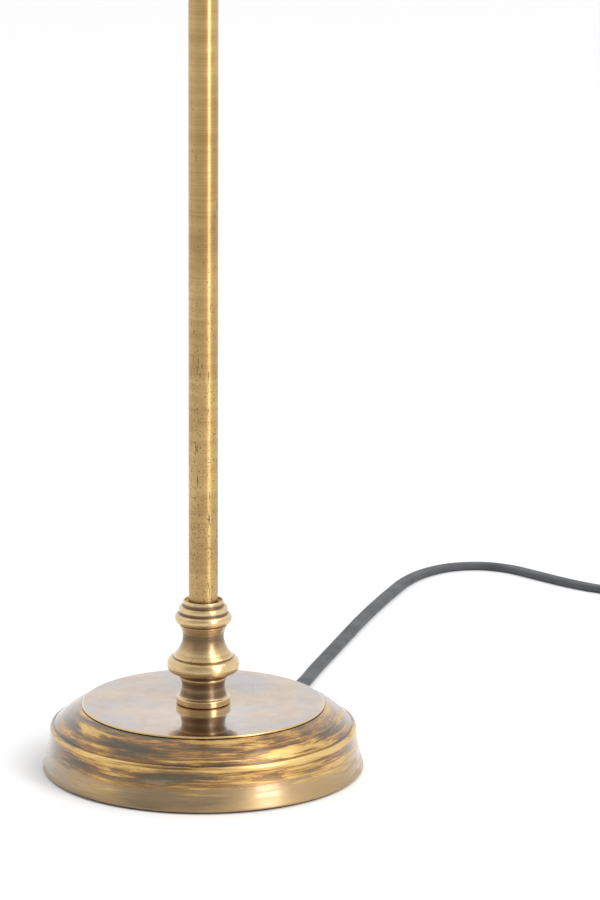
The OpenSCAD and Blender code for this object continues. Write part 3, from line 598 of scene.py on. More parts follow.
def old_brass(slot, bright, plain, dark, rough, pits, line_depth, line_share=0.5, pitch=1.3 * MM,
              coat=0.6, green=None):
    """Brushed or turned brass: slow colour changes, fine grooves, recesses darkened partly by tarnish
    and partly by painted shade, bare edges and pits, with one speck of verdigris where green gives its place."""
    brass = finish_for(slot, Coat_Weight=coat, **BRUSHED)
    here = brass.place()
    lines = grooves(brass, 1 / pitch)
    broad = grooves(brass, 160, 8)
    cloud = brass.noise(here, 22, 3, 0.6, 0.4)
    tone = brass.between(lines * line_share + broad * 0.3 + cloud * (0.8 - line_share), 0.42, 0.68)
    colour = brass.mix(tone, plain, bright)
    # Painted shade: the recess mark darkens the colour towards dark, partly as tarnish that collects there
    # and partly as the shade that falls in recesses.
    film_and_painted_shade = brass.between(brass.mark("recess") + (cloud - 0.5) * 0.5, 0.12, 0.75)
    colour = brass.mix(film_and_painted_shade * 0.85, colour, dark)
    height = brass.part_of(here, "Z")
    low_down = brass.between(height, 0.45, 0.12) * 0.09
    freckle = brass.noise(here, 1000, 2, 0.5) + low_down
    streak = brass.noise(brass.stretched(here, (900, 900, 110)), 1, 2, 0.5) + low_down
    dots = (brass.between(freckle, 0.69, 0.76) + brass.between(streak, 0.73, 0.78)) * pits
    colour = brass.mix(dots, colour, dark)
    worn = brass.between(brass.mark("edge"), 0.2, 0.9)
    colour = brass.mix(worn * 0.5, colour, bright)
    if green:
        away = brass.node("VectorMath", {"operation": "DISTANCE"}, {0: here, 1: green}, out="Value")
        colour = brass.mix(brass.between(away, 1.1 * MM, 0.4 * MM), colour, tint(120, 190, 170))
    roughness = film_and_painted_shade * 0.18 + lines * 0.10 + dots * 0.2 + (rough - 0.05)
    surface = lines * line_depth + broad * line_depth * 2 - dots * 0.5
    brass.paint(Base_Color=colour, Roughness=roughness, Normal=brass.bump(surface, 0.1 * MM, 0.5))
    return brass


# %% Tube, turned and spun brass
old_brass("tube_brass", tint(194, 164, 106), tint(160, 128, 76), tint(92, 66, 38), 0.33, 0.8, 0.25,
          line_share=0.25, pitch=0.7 * MM, coat=0.4)
SPECK_PLACE = (0, -15.4 * MM, 88.6 * MM)
old_brass("turned_brass", tint(218, 190, 140), tint(182, 150, 102), tint(88, 60, 36), 0.27, 0.3, 1.6,
          green=SPECK_PLACE)
old_brass("spun_brass", tint(200, 168, 112), tint(160, 130, 84), tint(88, 62, 38), 0.34, 0.3, 0.5,
          line_share=0.35, pitch=0.9 * MM, coat=0.5)
old_brass("lamp_contact_brass", tint(226, 190, 110), tint(204, 165, 86), tint(120, 88, 44), 0.28, 0.1, 0.15,
          line_share=0.3)

# %% [markdown]
# ## The worn base
# The cover was darkened and lacquered, and the lacquer has worn through in streaks that run
# round the base. One value of wear and painted side light decides everything: olive and brown
# where the lacquer is whole, orange where it thins, gold where the brass is bare. The value is
# noise stretched round the base, raised as painted light on the right front side that faces the
# lamps, so that side comes out lighter and more golden; the satin colour of the band is painted
# lighter there too. The lower half of the band stays smooth.

# %% Base cover
BAND_TOP = 22.6 * MM
cover = finish_for("base_brass", Metallic=1, Anisotropic=0.4, Anisotropic_Rotation=0.25, Coat_Roughness=0.12)
here = cover.place()
streaks = cover.noise(cover.stretched(here, (26, 26, 420)), 1, 8, 0.72, 0.4)
blotch = cover.noise(cover.stretched(here, (24, 24, 120)), 1, 3, 0.5)
hairs = cover.noise(cover.stretched(here, (60, 60, 2200)), 1, 4, 0.65)
# Painted side light: the way towards the lamps at the right front raises the wear value and the satin colour
# there, so that side of the cover is painted lighter.
toward_lamps = cover.node("VectorMath", {"operation": "DOT_PRODUCT"}, {0: here, 1: (9, -7, 0)}, out="Value")
height = cover.part_of(here, "Z")
ragged = (streaks - 0.5) * 26 * MM + (blotch - 0.5) * 12 * MM
quiet = cover.between(height + ragged, 16 * MM, 10.5 * MM)
wear_and_side_light = streaks * 1.05 + blotch * 0.50 + toward_lamps * 0.11 + hairs * 0.22 + cover.mark("edge") * 0.14 - 0.432
colour = cover.ramp(
    wear_and_side_light, (0.36, tint(74, 66, 46)), (0.44, tint(96, 78, 50)), (0.50, tint(132, 92, 50)),
    (0.545, tint(162, 120, 66)), (0.59, tint(196, 160, 94)), (0.72, tint(216, 184, 120)))
satin = cover.ramp(
    hairs * 0.5 + blotch * 0.5 + toward_lamps * 0.12, (0.33, tint(126, 110, 82)), (0.62, tint(172, 144, 104)))
colour = cover.mix(quiet, colour, satin)
# Painted shade: the recesses of the cover, such as the groove under the shoulder, are darkened towards dark
# brown, partly as tarnish and partly as painted shade.
film_and_painted_shade = cover.between(cover.mark("recess"), 0.1, 0.7)
colour = cover.mix(film_and_painted_shade * 0.8, colour, tint(70, 52, 34))
bare = cover.between(wear_and_side_light, 0.5, 0.6)
roughness = bare * 0.10 + hairs * 0.10 + film_and_painted_shade * 0.2 + quiet * 0.06 + 0.20
relief = bare * (1 - quiet) * -0.5 + hairs * 0.3
cover.paint(Base_Color=colour, Roughness=roughness, Coat_Weight=1 - bare * 0.7,
            Normal=cover.bump(relief, 0.08 * MM, 0.6))

# %% [markdown]
# ## The polished disc
# The disc is nearly a mirror, so the spindle stands on its own reflection. Its colour drifts
# between golden brown and a lilac grey, as thin tarnish does, and fine scratches cross it in
# several directions. A scratch is noise pulled out very long in one direction and cut off
# high, which leaves only a few thin lines.

# %% Disc
LIP_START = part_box("base_disc")[1].x - 0.9 * MM
disc = finish_for("disc_brass", Metallic=1, Coat_Weight=1, Coat_Roughness=0.03)
here = disc.place()
drift = disc.between(disc.noise(here, 30, 4, 0.55, 0.8), 0.42, 0.60)
cloud = disc.between(disc.noise(here, 80, 4, 0.55, 0.5), 0.40, 0.66)
colour = disc.mix(drift, tint(176, 146, 110), tint(150, 138, 136))
colour = disc.mix(cloud * 0.45, colour, tint(140, 112, 84))
scratch = 0
for angle, cut in ((0.4, 0.63), (1.5, 0.65), (2.5, 0.64)):
    turned_place = disc.node("VectorRotate", {"rotation_type": "Z_AXIS"}, {"Vector": here, "Angle": angle})
    hair = disc.noise(disc.stretched(turned_place, (26, 1100, 1)), 1, 3, 0.6)
    scratch = disc.between(hair, cut, cut + 0.05) + scratch
colour = disc.mix(scratch * 0.5, colour, tint(96, 72, 50))
level_place = disc.stretched(here, (1, 1, 0))
from_axis = disc.node("VectorMath", {"operation": "LENGTH"}, {0: level_place}, out="Value")
lip = disc.between(from_axis, LIP_START, LIP_START + 0.5 * MM)
colour = disc.mix(lip, colour, tint(204, 172, 112))
disc.paint(Base_Color=colour, Roughness=cloud * 0.06 + scratch * 0.12 + 0.10,
           Normal=disc.bump(drift * 0.5 - scratch, 0.03 * MM, 0.5))

# %% [markdown]
# ## Iron, steel, felt and plastics
# What is hidden or small is finished with the same care: the weight is a rough casting, nuts
# are zinc plated, the felt is a mat of fibres, the socket is glossy phenolic and the slip
# washers are milky nylon.


# %% Plain materials
def plain(slot, first, second, scale, rough, grain, depth, **constants):
    """A material of two close colours in soft patches, with a fine grain in its surface."""
    stuff = finish_for(slot, **constants)
    here = stuff.place()
    patch = stuff.between(stuff.noise(here, scale, 4), 0.3, 0.7)
    grit = stuff.noise(here, grain, 4, 0.6)
    stuff.paint(Base_Color=stuff.mix(patch, first, second), Roughness=patch * 0.1 + grit * 0.12 + rough,
                Normal=stuff.bump(grit, depth, 0.7))


plain("ballast_iron", tint(62, 62, 64), tint(48, 46, 46), 60, 0.6, 900, 0.4 * MM, Metallic=0.6)
plain("felt", tint(38, 44, 40), tint(28, 32, 30), 120, 0.85, 2600, 0.5 * MM, Sheen_Weight=0.6)
plain("plated_steel", tint(190, 190, 192), tint(168, 168, 172), 180, 0.26, 1500, 0.03 * MM, Metallic=1)
plain("cap_aluminium", tint(206, 206, 210), tint(186, 186, 190), 160, 0.24, 1500, 0.03 * MM, Metallic=1)
plain("filament_wire", tint(110, 108, 106), tint(88, 86, 84), 300, 0.4, 3000, 0.01 * MM, Metallic=1)
plain("nylon", tint(226, 222, 206), tint(214, 209, 190), 140, 0.4, 1500, 0.03 * MM, Subsurface_Weight=0.1)
plain("phenolic", tint(34, 30, 29), tint(26, 23, 23), 70, 0.18, 800, 0.03 * MM, Coat_Weight=0.3)
plain("lead_insulation", tint(52, 52, 54), tint(44, 44, 46), 90, 0.5, 1600, 0.04 * MM)
plain("plug_plastic", tint(46, 46, 48), tint(38, 38, 40), 110, 0.42, 2200, 0.05 * MM)
plain("cord_jacket", tint(76, 78, 81), tint(62, 64, 67), 70, 0.44, 2400, 0.04 * MM)
glass = finish_for("lamp_glass", Transmission_Weight=1, IOR=1.45, Roughness=0.02)
swirl = glass.noise(glass.place(), 40, 2)
glass.paint(Base_Color=glass.mix(swirl, (0.97, 0.96, 0.93, 1), (1, 1, 1, 1)),
            Normal=glass.bump(swirl, 0.05 * MM, 0.3))
cord.data.materials.append(FINISHES["cord_jacket"])

# %% [markdown]
# ## The base
# On the real lamp the base is one spun cover over a cast iron weight. The outline climbs the
# flared band, rolls over the shoulder, drops into a fine groove, climbs the slightly bulging
# slope and ends under the polished disc. The cover is a shell, so the outline goes back down
# inside it and closes.

# %% Base cover and disc
disc_low, disc_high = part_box("base_disc")
SHELL = 1.6
BAND_FLARE = 4
RIM_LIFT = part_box("base_cover")[0].z / MM
NIPPLE_R = 5.05
rim = rim_r / MM
shoulder = rim - BAND_FLARE
band_top = BAND_TOP / MM
slope_foot = shoulder - 2.5
disc_r = disc_high.x / MM
slope_top = disc_r + 0.8
cover_top = disc_low.z / MM
disc_top = disc_high.z / MM
cover_outline = [
    [rim - SHELL, RIM_LIFT], [rim - 0.8, RIM_LIFT], [rim, RIM_LIFT + 0.8],
    settle([rim, RIM_LIFT + 1], [shoulder, band_top], 1.6),
    rise([shoulder, band_top + 0.2], [shoulder - 1.4, band_top + 2.1], 8),
    [slope_foot + 0.3, band_top + 1.8], [slope_foot, band_top + 2.2],
    bowed([slope_foot, band_top + 2.8], [slope_top, cover_top + 0.2], 0.8),
    [slope_top - 0.5, cover_top + 0.3], [disc_r - 1.2, cover_top], [NIPPLE_R, cover_top],
    [NIPPLE_R, cover_top - SHELL], [slope_top - SHELL, cover_top - SHELL],
    [slope_foot - SHELL, band_top + 2.8 - SHELL], [shoulder - SHELL, band_top - 3],
    [rim - SHELL - 0.4, RIM_LIFT + 2], [rim - SHELL, RIM_LIFT],
]
upright = seat((0, 0, 0), (0, 0, 1), (1, 0, 0))
turned("cover_of_base", cover_outline, upright, "base_and_column", ["base_cover"], "base_brass",
       256, reach=4 * MM)
disc_outline = [
    [NIPPLE_R, cover_top], [disc_r - 1.2, cover_top], [disc_r - 0.2, cover_top + 0.4],
    [disc_r, cover_top + 0.7], [disc_r, disc_top - 0.4], [disc_r - 0.4, disc_top],
    [disc_r - 1.5, disc_top], [disc_r - 6, disc_top], [NIPPLE_R, disc_top], [NIPPLE_R, cover_top],
]
turned("polished_disc", disc_outline, upright, "base_and_column", ["base_disc"], "disc_brass",
       256, reach=3 * MM)

# %% [markdown]
# ## The spindle
# The spindle is turned from bar: a foot ring, a hollow neck, a fillet, the full bulge, a long
# concave cone, a bead, a rounded ring, a straight ring and the lip that takes the column.
# Its diameters follow the column, as on the lamp, so the outline counts its radii from the
# column's wall.

# %% Spindle
column_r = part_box("column_tube")[1].x / MM
FOOT_H, NECK_H, UNDER_H, OVER_H, CONE_H = 3.8, 10.5, 7.1, 4.7, 11.5
FLARE_H, TORUS_H, RING_H, LIP_H = 6.2, 6.8, 4.2, 3.2
lip = column_r + 3.2
neck, fillet, bulge, groove, bead, torus, ring_r = (lip + d for d in (0.5, 2.1, 8.6, 5.1, 1.8, 4.3, 2))
foot = lip + 3.5
z_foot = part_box("spindle")[0].z / MM
z_neck = z_foot + FOOT_H
z_fillet = z_neck + NECK_H
z_bulge = z_fillet + UNDER_H
z_groove = z_bulge + OVER_H
z_waist = z_groove + CONE_H
z_bead = z_waist + FLARE_H
z_ring = z_bead + TORUS_H
z_lip = z_ring + RING_H
z_top = z_lip + LIP_H
share = np.linspace(0, 1, 14)[1:]
flare = np.stack([lip + (bead - 0.3 - lip) * share**1.6, z_waist + 0.4 + (FLARE_H - 0.9) * share], -1)
spindle_outline = [
    [NIPPLE_R, z_foot], [foot - 0.5, z_foot], [foot, z_foot + 0.5], [foot, z_neck - 0.4],
    [foot - 0.4, z_neck],
    spread([foot - 0.7, z_neck], [neck, z_neck + 0.62 * NECK_H]),
    rise([neck, z_neck + 0.66 * NECK_H], [fillet - 0.2, z_fillet - 0.3]),
    [fillet, z_fillet], [fillet, z_fillet + 0.6], [fillet - 0.2, z_fillet + 0.9],
    rise([fillet - 0.1, z_fillet + 1.1], [fillet + 3.2, z_fillet + 3.4]),
    spread([fillet + 3.4, z_fillet + 3.5], [bulge, z_bulge]),
    rise([bulge, z_bulge + 0.2], [groove + 0.9, z_groove - 0.2]),
    [groove - 0.1, z_groove - 0.1], [groove - 0.2, z_groove + 0.4],
    settle([groove, z_groove + 0.6], [lip, z_waist], 1.9), flare,
    [bead, z_bead - 0.1], [bead, z_bead + 0.3], [bead - 0.3, z_bead + 0.7],
    spread([bead + 0.6, z_bead + 1.3], [torus, z_bead + 0.6 * TORUS_H]),
    rise([torus, z_bead + 0.63 * TORUS_H], [ring_r + 0.4, z_ring - 0.1]),
    [ring_r, z_ring + 0.1], [ring_r + 0.15, z_ring + RING_H / 2],
    rise([ring_r, z_lip - 0.8], [lip + 0.3, z_lip - 0.1], 5),
    [lip, z_lip + 0.2], [lip, z_top - 0.4], [lip - 0.4, z_top], [column_r + 2.4, z_top],
    [column_r + 2.1, z_top - 0.3],
    [column_r + 2.1, z_top - 1.9], [column_r, z_top - 1.9], [column_r, z_top - 6.4],
    [NIPPLE_R, z_top - 6.4], [NIPPLE_R, z_foot],
]
turned("turned_spindle", spindle_outline, upright, "base_and_column", ["spindle"], "turned_brass", 192)

# %% [markdown]
# ## The mast
# Two drawn tubes slide in each other. The outer one stands in the spindle and carries a
# collar with a knurled clamp screw, the inner one slides. A knurl is a ripple in the radius,
# strongest halfway along the head, so the ends of the ridges fade out as a real knurling
# wheel leaves them.


# %% Tubes
def tube(name, node, place, axis, body, wall, slot, around=96):
    """A drawn tube with slightly eased ends, as long and as wide as the model's own."""
    low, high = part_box(node)
    radius = (high.x - low.x) / 2 / MM
    start, end = (low.z, high.z) if axis == "Z" else (-high.y, -low.y)
    middle = [[radius, z] for z in np.linspace(start / MM, end / MM, 40)]
    inner = [[radius - wall, end / MM], [radius - wall, start / MM], [radius, start / MM]]
    turned(name, [*middle, *inner], place, body, [node], slot, around)


MAST_WALL = 1
along_arm_line = seat((0, 0, joints["arm_tilt"]["pos_m"][2]), (0, -1, 0), (1, 0, 0))
tube("column_of_mast", "column_tube", upright, "Z", "base_and_column", MAST_WALL, "tube_brass", 128)
tube("rod_of_mast", "sliding_rod", upright, "Z", "rod", MAST_WALL, "tube_brass")
tube("tube_of_arm", "arm_tube", along_arm_line, "Y", "arm", MAST_WALL, "tube_brass")


# %% Knurled and fluted grips
def ridges(count, depth, low, high, inner):
    """A ripple of count ridges on what lies outside the inner radius, from low to high along the piece."""
    def ripple(a, r, z):
        window = easing(z, low * MM, (low + 1) * MM) * (1 - easing(z, (high - 1) * MM, high * MM))
        return depth * MM * 0.5 * (1 - np.cos(count * a)) * window * (r > inner * MM)
    return ripple


# %% Collar and clamp screw
collar_low, collar_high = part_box("column_collar")
collar_r = collar_high.x / MM
collar_foot, collar_top = collar_low.z / MM, collar_high.z / MM
column_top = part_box("column_tube")[1].z / MM
rod_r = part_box("sliding_rod")[1].x / MM
collar_outline = [
    [column_r + 0.05, collar_foot], [column_r + 1.2, collar_foot],
    spread([column_r + 1.6, collar_foot], [collar_r - 0.8, collar_foot + 6]),
    [collar_r - 0.8, column_top - 8], [collar_r - 1.2, column_top - 7.6], [collar_r - 1.2, column_top - 6.8],
    [collar_r - 0.8, column_top - 6.4], [collar_r - 0.8, column_top - 2], [collar_r, column_top - 1.4],
    [collar_r, collar_top - 1.6], rise([collar_r, collar_top - 1.4], [collar_r - 1.6, collar_top], 8),
    [rod_r + 0.3, collar_top], [rod_r + 0.3, column_top + 2], [column_r + 0.05, column_top + 2],
    [column_r + 0.05, collar_foot],
]
turned("clamp_collar", collar_outline, upright, "base_and_column", ["column_collar"], "turned_brass", 128)
clamp_z = joints["clamp_turn"]["pos_m"][2]
on_clamp = seat((0, 0, clamp_z), (1, 0, 0), (0, 0, -1))
CLAMP_R = 7
clamp_outline = [
    [0, rod_r + 0.3], [2.5, rod_r + 0.3], [2.5, collar_r + 2], [4.5, collar_r + 2], [4.5, collar_r + 4],
    [CLAMP_R - 0.5, collar_r + 4], [CLAMP_R, collar_r + 4.8],
    [[CLAMP_R, collar_r + h] for h in np.linspace(5, 13, 17)],
    [CLAMP_R - 0.8, collar_r + 14], [CLAMP_R - 2, collar_r + 14.2],
    rise([CLAMP_R - 2.2, collar_r + 14.3], [0, collar_r + 15], 8),
]
turned("knurled_clamp_screw", clamp_outline, on_clamp, "clamp_screw", ["clamp_screw"], "turned_brass", 240,
       ridges(40, 0.45, collar_r + 4.2, collar_r + 14, CLAMP_R - 1.5))

# %% [markdown]
# ## The knuckles
# A knuckle is a fork that turns on a spigot, with a tongue between its ears and a bolt
# through both. The forks and tongues are milled, so they keep the model's own solids: a copy
# is welded, its flat facets are joined, and a bevel eases the edges. The spigots, bolts and
# knobs are turned.


# %% Milled pieces
def milled(name, node, body, slot, edge=0.45 * MM):
    """A copy of a model's solid with its facets joined and a small bevel on every sharp edge."""
    work = bmesh.new()
    work.from_mesh(frame["nodes"][node].data)
    bmesh.ops.remove_doubles(work, verts=work.verts, dist=1e-6)
    bmesh.ops.dissolve_limit(work, angle_limit=math.radians(0.5), verts=work.verts, edges=work.edges)
    mesh = bpy.data.meshes.new(name)
    work.to_mesh(mesh)
    work.free()
    mesh.polygons.foreach_set("use_smooth", np.ones(len(mesh.polygons), bool))
    mesh.set_sharp_from_angle(angle=math.radians(35))
    made = bpy.data.objects.new(name, mesh)
    scene.collection.objects.link(made)
    bevel = made.modifiers.new("eased_edges", "BEVEL")
    bevel.width = edge
    bevel.segments = 2
    bevel.limit_method = "ANGLE"
    bevel.angle_limit = math.radians(35)
    bevel.harden_normals = True
    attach(made, body)
    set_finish(made, slot)
    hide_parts(node)
    return made


milled("fork_of_swivel", "swivel_fork", "swivel", "turned_brass")
milled("fork_of_link", "link_fork", "link", "turned_brass")
milled("tongue_of_arm", "arm_tongue", "arm", "turned_brass")
milled("tongue_of_shade", "shade_tongue", "head", "turned_brass")
milled("cap_nut_of_shade", "shade_cap_nut", "link", "turned_brass", 0.3 * MM)
milled("blades_of_plug", "plug_blades", "base_and_column", "lamp_contact_brass", 0.3 * MM)

# %% Knobs
arm_pivot = joints["arm_tilt"]["pos_m"]
shade_pivot = joints["shade_tilt"]["pos_m"]
on_arm_bolt = seat(arm_pivot, (1, 0, 0), (0, 0, -1))
knob_low, knob_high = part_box("arm_knob")
KNOB_R = (knob_high.z - knob_low.z) / 2 / MM
knob_start, knob_end = knob_low.x / MM, knob_high.x / MM
knob_outline = [
    [3.1, knob_start], [6, knob_start], [6, knob_start + 2.2], [7.4, knob_start + 2.8],
    [KNOB_R - 0.8, knob_start + 3], [KNOB_R, knob_start + 3.8],
    [[KNOB_R, h] for h in np.linspace(knob_start + 4, knob_end - 3, 13)],
    rise([KNOB_R, knob_end - 2.8], [KNOB_R - 2.2, knob_end - 1.1], 8), [KNOB_R - 2.8, knob_end - 1.2],
    rise([KNOB_R - 3, knob_end - 1], [0, knob_end], 12),
]
knob_bore = [[0, knob_start + 9], [3.1, knob_start + 9]]
turned("fluted_arm_knob", [*knob_bore, *knob_outline], on_arm_bolt, "arm_knob", ["arm_knob"],
       "turned_brass", 240, ridges(20, 1.0, knob_start + 2.6, knob_end - 0.8, KNOB_R - 2))
switch_low, switch_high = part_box("switch_knob")
on_switch = seat((0, shade_pivot[1], joints["switch_turn"]["pos_m"][2]), (1, 0, 0), (0, 0, -1))
SWITCH_R = (switch_high.z - switch_low.z) / 2 / MM
grip_start, grip_end = switch_low.x / MM, switch_high.x / MM
grip_outline = [
    [0, grip_end - 2.4], [2.55, grip_end - 2.4], [2.55, grip_start], [5, grip_start], [5, grip_start + 2],
    [SWITCH_R - 0.6, grip_start + 2.1], [SWITCH_R, grip_start + 2.7],
    [[SWITCH_R, h] for h in np.linspace(grip_start + 3, grip_end - 3.2, 9)],
    [SWITCH_R - 0.8, grip_end - 2.2], [SWITCH_R - 2, grip_end - 2],
    rise([SWITCH_R - 2.1, grip_end - 1.8], [0, grip_end], 10),
]
turned("fluted_switch_knob", grip_outline, on_switch, "switch", ["switch_knob"], "turned_brass", 192,
       ridges(16, 0.7, grip_start + 2, grip_end - 2, SWITCH_R - 1.5))

# %% [markdown]
# ## The head
# A spun cup hides the socket. The dome is spun from thin sheet over a former, its rim is
# rolled into a bead, and a ring of vents is drilled through its flat top. Here the drills
# are cylinders, and their holes are cut into the mesh once.

# %% Dome
VENTS, VENT_R, VENT_CIRCLE = 8, 2, 27
DOME_FLAT, DOME_SHEET, DOME_HOLE, BEAD = 30, 0.8, 17.2, 1.4
down_head = seat(shade_pivot, (0, 0, -1), (1, 0, 0))
pivot_z = shade_pivot[2]
dome_low, dome_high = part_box("dome_shade")
dome_start = (pivot_z - dome_high.z) / MM
dome_end = (pivot_z - dome_low.z) / MM - BEAD
bead_middle = dome_high.x / MM - BEAD
dome_r = bead_middle + DOME_SHEET / 2
t = np.linspace(0, 0.985 * np.pi / 2, 64)


def dome_arc(inset):
    """Quarter ellipse of the dome, moved in by inset: radius by sin t, depth by cos t."""
    across = DOME_FLAT + (dome_r - inset - DOME_FLAT) * np.sin(t)
    return np.stack([across, dome_end - (dome_end - dome_start - inset) * np.cos(t)], -1)


bead_turn = np.linspace(np.radians(-74), np.radians(252), 28)
bead_line = np.stack([bead_middle + BEAD * np.cos(bead_turn), dome_end + BEAD * np.sin(bead_turn)], -1)
dome_outline = [
    [DOME_HOLE, dome_start], [(DOME_HOLE + DOME_FLAT) / 2, dome_start], dome_arc(0), bead_line,
    dome_arc(DOME_SHEET)[::-1], [(DOME_HOLE + DOME_FLAT) / 2, dome_start + DOME_SHEET],
    [DOME_HOLE, dome_start + DOME_SHEET], [DOME_HOLE, dome_start],
]
dome = turned("spun_dome", dome_outline, down_head, "head", ["dome_shade"], "spun_brass", 192, ease=0.1)
drill = bmesh.new()
for vent_turn in FULL_TURN * (np.arange(VENTS) + 0.5) / VENTS:
    spot = Matrix.Translation((VENT_CIRCLE * MM * math.cos(vent_turn),
                               shade_pivot[1] + VENT_CIRCLE * MM * math.sin(vent_turn), dome_high.z))
    bmesh.ops.create_cone(drill, cap_ends=True, segments=32, radius1=VENT_R * MM, radius2=VENT_R * MM,
                          depth=6 * MM, matrix=spot)
drill_mesh = bpy.data.meshes.new("drill")
drill.to_mesh(drill_mesh)
drill.free()
drill_piece = bpy.data.objects.new("drill", drill_mesh)
scene.collection.objects.link(drill_piece)
drilling = dome.modifiers.new("vents", "BOOLEAN")
drilling.operation = "DIFFERENCE"
drilling.solver = "EXACT"
drilling.object = drill_piece
drilled = bpy.data.meshes.new_from_object(dome.evaluated_get(bpy.context.evaluated_depsgraph_get()))
dome.modifiers.clear()
dome.data = drilled
drilled.set_sharp_from_angle(angle=math.radians(40))
bpy.data.objects.remove(drill_piece)
print("dome has", VENTS, "vents,", len(drilled.polygons), "faces")

# %% Cup and globe
cup_low, cup_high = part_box("socket_cup")
cup_r = cup_high.x / MM
cup_start, cup_end = (pivot_z - cup_high.z) / MM, (pivot_z - cup_low.z) / MM
cup_outline = [
    [NIPPLE_R, cup_start], spread([cup_r - 5, cup_start], [cup_r, cup_start + 5]),
    [cup_r, cup_start + 16], [cup_r - 0.35, cup_start + 16.4], [cup_r - 0.35, cup_start + 17],
    [cup_r, cup_start + 17.4], [cup_r, cup_end - 6], [cup_r - 0.35, cup_end - 5.6],
    [cup_r - 0.35, cup_end - 5], [cup_r, cup_end - 4.6], [cup_r, cup_end], [cup_r - 1, cup_end],
    [cup_r - 1, cup_start + 6], [cup_r - 5, cup_start + 1.2], [NIPPLE_R, cup_start + 1.2],
    [NIPPLE_R, cup_start],
]
turned("cup_of_socket", cup_outline, down_head, "head", ["socket_cup"], "spun_brass", 128)
globe_low, globe_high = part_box("lamp_globe")
globe_r = globe_high.x / MM
globe_end = (pivot_z - globe_low.z) / MM
globe_mid = globe_end - globe_r
neck_r, neck_start = 12.2, (pivot_z - globe_high.z) / MM
GLASS = 0.9
GLOBE_AROUND = 128
join = math.asin(neck_r / globe_r)
arc = np.linspace(join, np.pi, 60)
outer = np.stack([globe_r * np.sin(arc), globe_mid - globe_r * np.cos(arc)], -1)
inner_arc = np.linspace(np.pi, math.asin((neck_r - GLASS) / (globe_r - GLASS)), 60)
inner_r = globe_r - GLASS
inner = np.stack([inner_r * np.sin(inner_arc), globe_mid - inner_r * np.cos(inner_arc)], -1)
neck_line = [[neck_r, z] for z in np.linspace(neck_start, outer[0, 1] - 0.5, 6)]
globe_outline = np.vstack([neck_line, outer]) * MM
globe_outline[-1, 0] = 0
inner[0, 0] = 0
inner_outline = np.vstack([inner, [[neck_r - GLASS, neck_start]]]) * MM
outer_points, outer_faces = lathe(globe_outline, GLOBE_AROUND)
inner_points, inner_faces = lathe(inner_outline, GLOBE_AROUND)
count = len(outer_points)
last_inner = count + (len(inner_outline) - 2) * GLOBE_AROUND
j = np.arange(GLOBE_AROUND)
k = (j + 1) % GLOBE_AROUND
rim_faces = np.stack([last_inner + j, last_inner + k, k, j], -1).tolist()
globe_faces = outer_faces + [[count + i for i in face] for face in inner_faces] + rim_faces
piece("glass_globe", np.vstack([outer_points, inner_points]), globe_faces, down_head, "head",
      ["lamp_globe"], "lamp_glass")

# %% [markdown]
# ## The strain relief and the plug
# Both are moulded in soft plastic. The relief tapers to the cord and has ring grooves, so
# that it bends in an even curve. The plug is a rounded block with ribs for the fingers.

# %% Strain relief
on_outlet = seat((0, 0, outlet_z), outlet_way, (-outlet_way[1], outlet_way[0], 0))
RELIEF_INSIDE, RELIEF_GAP, FLANGE, RINGS = 7, 0.2, 2, 7
TAPER_FOOT_R, TAPER_TIP_R = 5.8, 4.5
relief_low, relief_face = rim - RELIEF_INSIDE, rim + RELIEF_GAP
taper_start = relief_face + FLANGE
taper_end = relief_end / MM
along_taper = np.linspace(0, 1, 90)
taper = TAPER_FOOT_R + (TAPER_TIP_R - TAPER_FOOT_R) * along_taper
ring_cut = 0.55 * easing(np.cos(FULL_TURN * along_taper * RINGS), 0.2, 0.8)
ring_cut *= easing(along_taper, 0.08, 0.14)
ring_cut *= 1 - easing(along_taper, 0.9, 0.96)
relief_outline = [
    [0, relief_low], [6.6, relief_low], [6.6, relief_low + 1.4], [5.4, relief_low + 1.4],
    [5.4, relief_face], [7.0, relief_face], [7.3, relief_face + 0.4], [7.1, relief_face + 1.6],
    [5.9, taper_start],
    np.stack([taper - ring_cut, taper_start + (taper_end - taper_start) * along_taper], -1),
    [3.6, taper_end + 0.05], [0, taper_end - 1],
]
turned("moulded_relief", relief_outline, on_outlet, "base_and_column", ["cord_relief"], "plug_plastic", 64)

# %% Plug
body_low, body_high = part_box("plug_body")
plug_middle = (body_low + body_high) / 2
plug_w, plug_t = (body_high.x - body_low.x) / MM, (body_high.z - body_low.z) / MM
plug_long = (body_high.y - body_low.y) / MM
COLLAR_L, COLLAR_R = 12, 5.5
RIB_DEPTH, RIB_PITCH, NOTCH_PITCH = 0.5, 2.6, 2.4
PLUG_AROUND = 72
s = np.linspace(0, plug_long, 150)
swell = easing(s, COLLAR_L - 1, COLLAR_L + 7) * (1 - 0.10 * easing(s, plug_long - 16, plug_long - 8)
                                                + 0.07 * easing(s, plug_long - 7, plug_long - 3))
end_round = np.sqrt(np.clip(1 - (np.clip(s - (plug_long - 1.6), 0, 1.6) / 1.6) ** 2, 0.3, 1)) ** 0.35
start_round = np.sqrt(np.clip(1 - (np.clip(1.2 - s, 0, 1.2) / 1.2) ** 2, 0.5, 1))
rib = RIB_DEPTH * easing(np.cos(FULL_TURN * (s - plug_long + 19) / RIB_PITCH), 0.1, 0.7)
rib *= easing(s, plug_long - 19, plug_long - 18) * (1 - easing(s, plug_long - 9, plug_long - 8))
notch = RIB_DEPTH * easing(np.cos(FULL_TURN * s / NOTCH_PITCH), 0.1, 0.7)
notch *= 1 - easing(s, COLLAR_L - 2, COLLAR_L - 1)
half_w = (COLLAR_R + (plug_w / 2 - COLLAR_R) * swell - rib - notch) * end_round * start_round
half_t = (COLLAR_R + (plug_t / 2 - COLLAR_R) * swell - notch) * end_round * start_round
a = FULL_TURN * (np.arange(PLUG_AROUND) + 0.5) / PLUG_AROUND
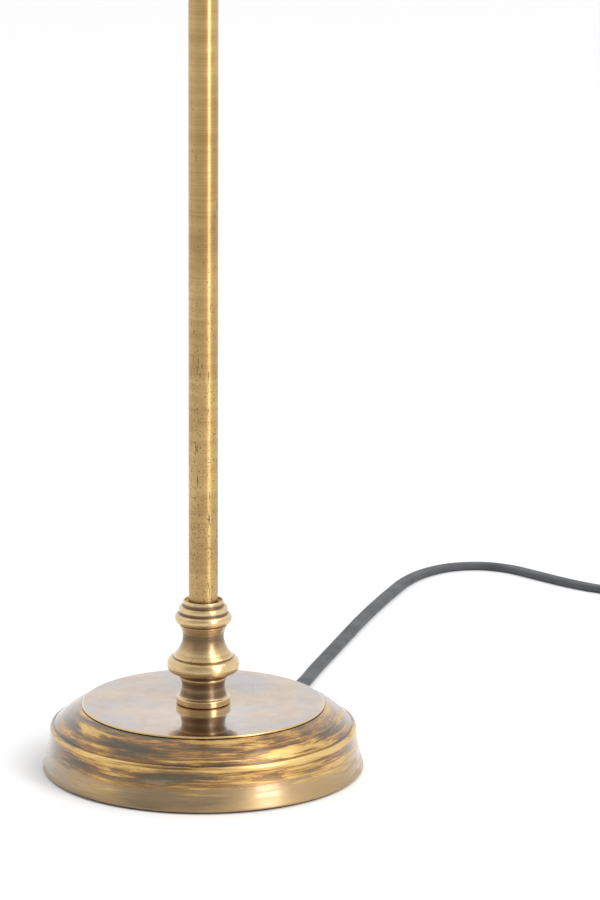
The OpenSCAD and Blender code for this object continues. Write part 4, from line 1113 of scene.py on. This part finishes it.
power = (1 - 0.38 * swell)[:, None]
x = np.sign(np.cos(a)) * np.abs(np.cos(a)) ** power * half_w[:, None]
y = np.sign(np.sin(a)) * np.abs(np.sin(a)) ** power * half_t[:, None]
rings = np.stack([x, y, s[:, None] + 0 * x], -1).reshape(-1, 3)
plug_points = np.vstack([rings, [0, 0, 0], [0, 0, plug_long]]) * MM
last = (len(s) - 1) * PLUG_AROUND
plug_faces = grid_faces(len(s), PLUG_AROUND) + fan(len(rings), 0, PLUG_AROUND, True)
plug_faces += fan(len(rings) + 1, last, PLUG_AROUND, False)
on_plug = seat((plug_middle.x, body_high.y, plug_middle.z), (0, -1, 0), (1, 0, 0))
plug = piece("moulded_plug", plug_points, plug_faces, on_plug, "base_and_column",
             ["plug_body"], "plug_plastic")

# %% [markdown]
# ## The tie
# A flat strap holds the coil. A strap pulled tight runs straight between the corners of what
# it holds, so in each direction it stands off the corner that lies farthest out that way.

# %% Tie round the coil
TIE_TURN = math.radians(200)
TIE_HALF, TIE_SHEET, TIE_PLAY = 5, 0.8, 0.15
TIE_AROUND = 60
bundle = np.array([[36.3, 1], [49.7, 1], [49.7, 9.2], [45.4, 17.1], [36.3, 17.1]])
a = FULL_TURN * np.arange(TIE_AROUND) / TIE_AROUND
outwards = np.stack([np.cos(a), np.sin(a)], -1)
corner = bundle[(outwards @ bundle.T).argmax(1)]
near, far = corner + TIE_PLAY * outwards, corner + (TIE_PLAY + TIE_SHEET) * outwards
loops = [(near, TIE_HALF), (far, TIE_HALF), (far, -TIE_HALF), (near, -TIE_HALF)]
edges = [np.stack([loop[:, 0], np.full(TIE_AROUND, y), loop[:, 1]], -1) for loop, y in loops]
tie_points = np.vstack(edges) * MM
at_tie = seat((*COIL_CENTRE, 0), (0, 0, 1), (math.cos(TIE_TURN), math.sin(TIE_TURN), 0))
tie = piece("tie_of_cord", tie_points, grid_faces(len(loops), TIE_AROUND, True), at_tie,
            "base_and_column", ["cord_tie"], "plug_plastic")

# %% [markdown]
# ## Every piece gets its finish
# New pieces take the finish that their slot names. The model's own solids take the one that
# the record names for them.

# %% Finishes on pieces
slot_of = {row["node"]: row["material_slot"] for row in frame["record"]["subparts"]}
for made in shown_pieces():
    name = made.get("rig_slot") or slot_of[made["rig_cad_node"]]
    made.data.materials.clear()
    made.data.materials.append(FINISHES[name])
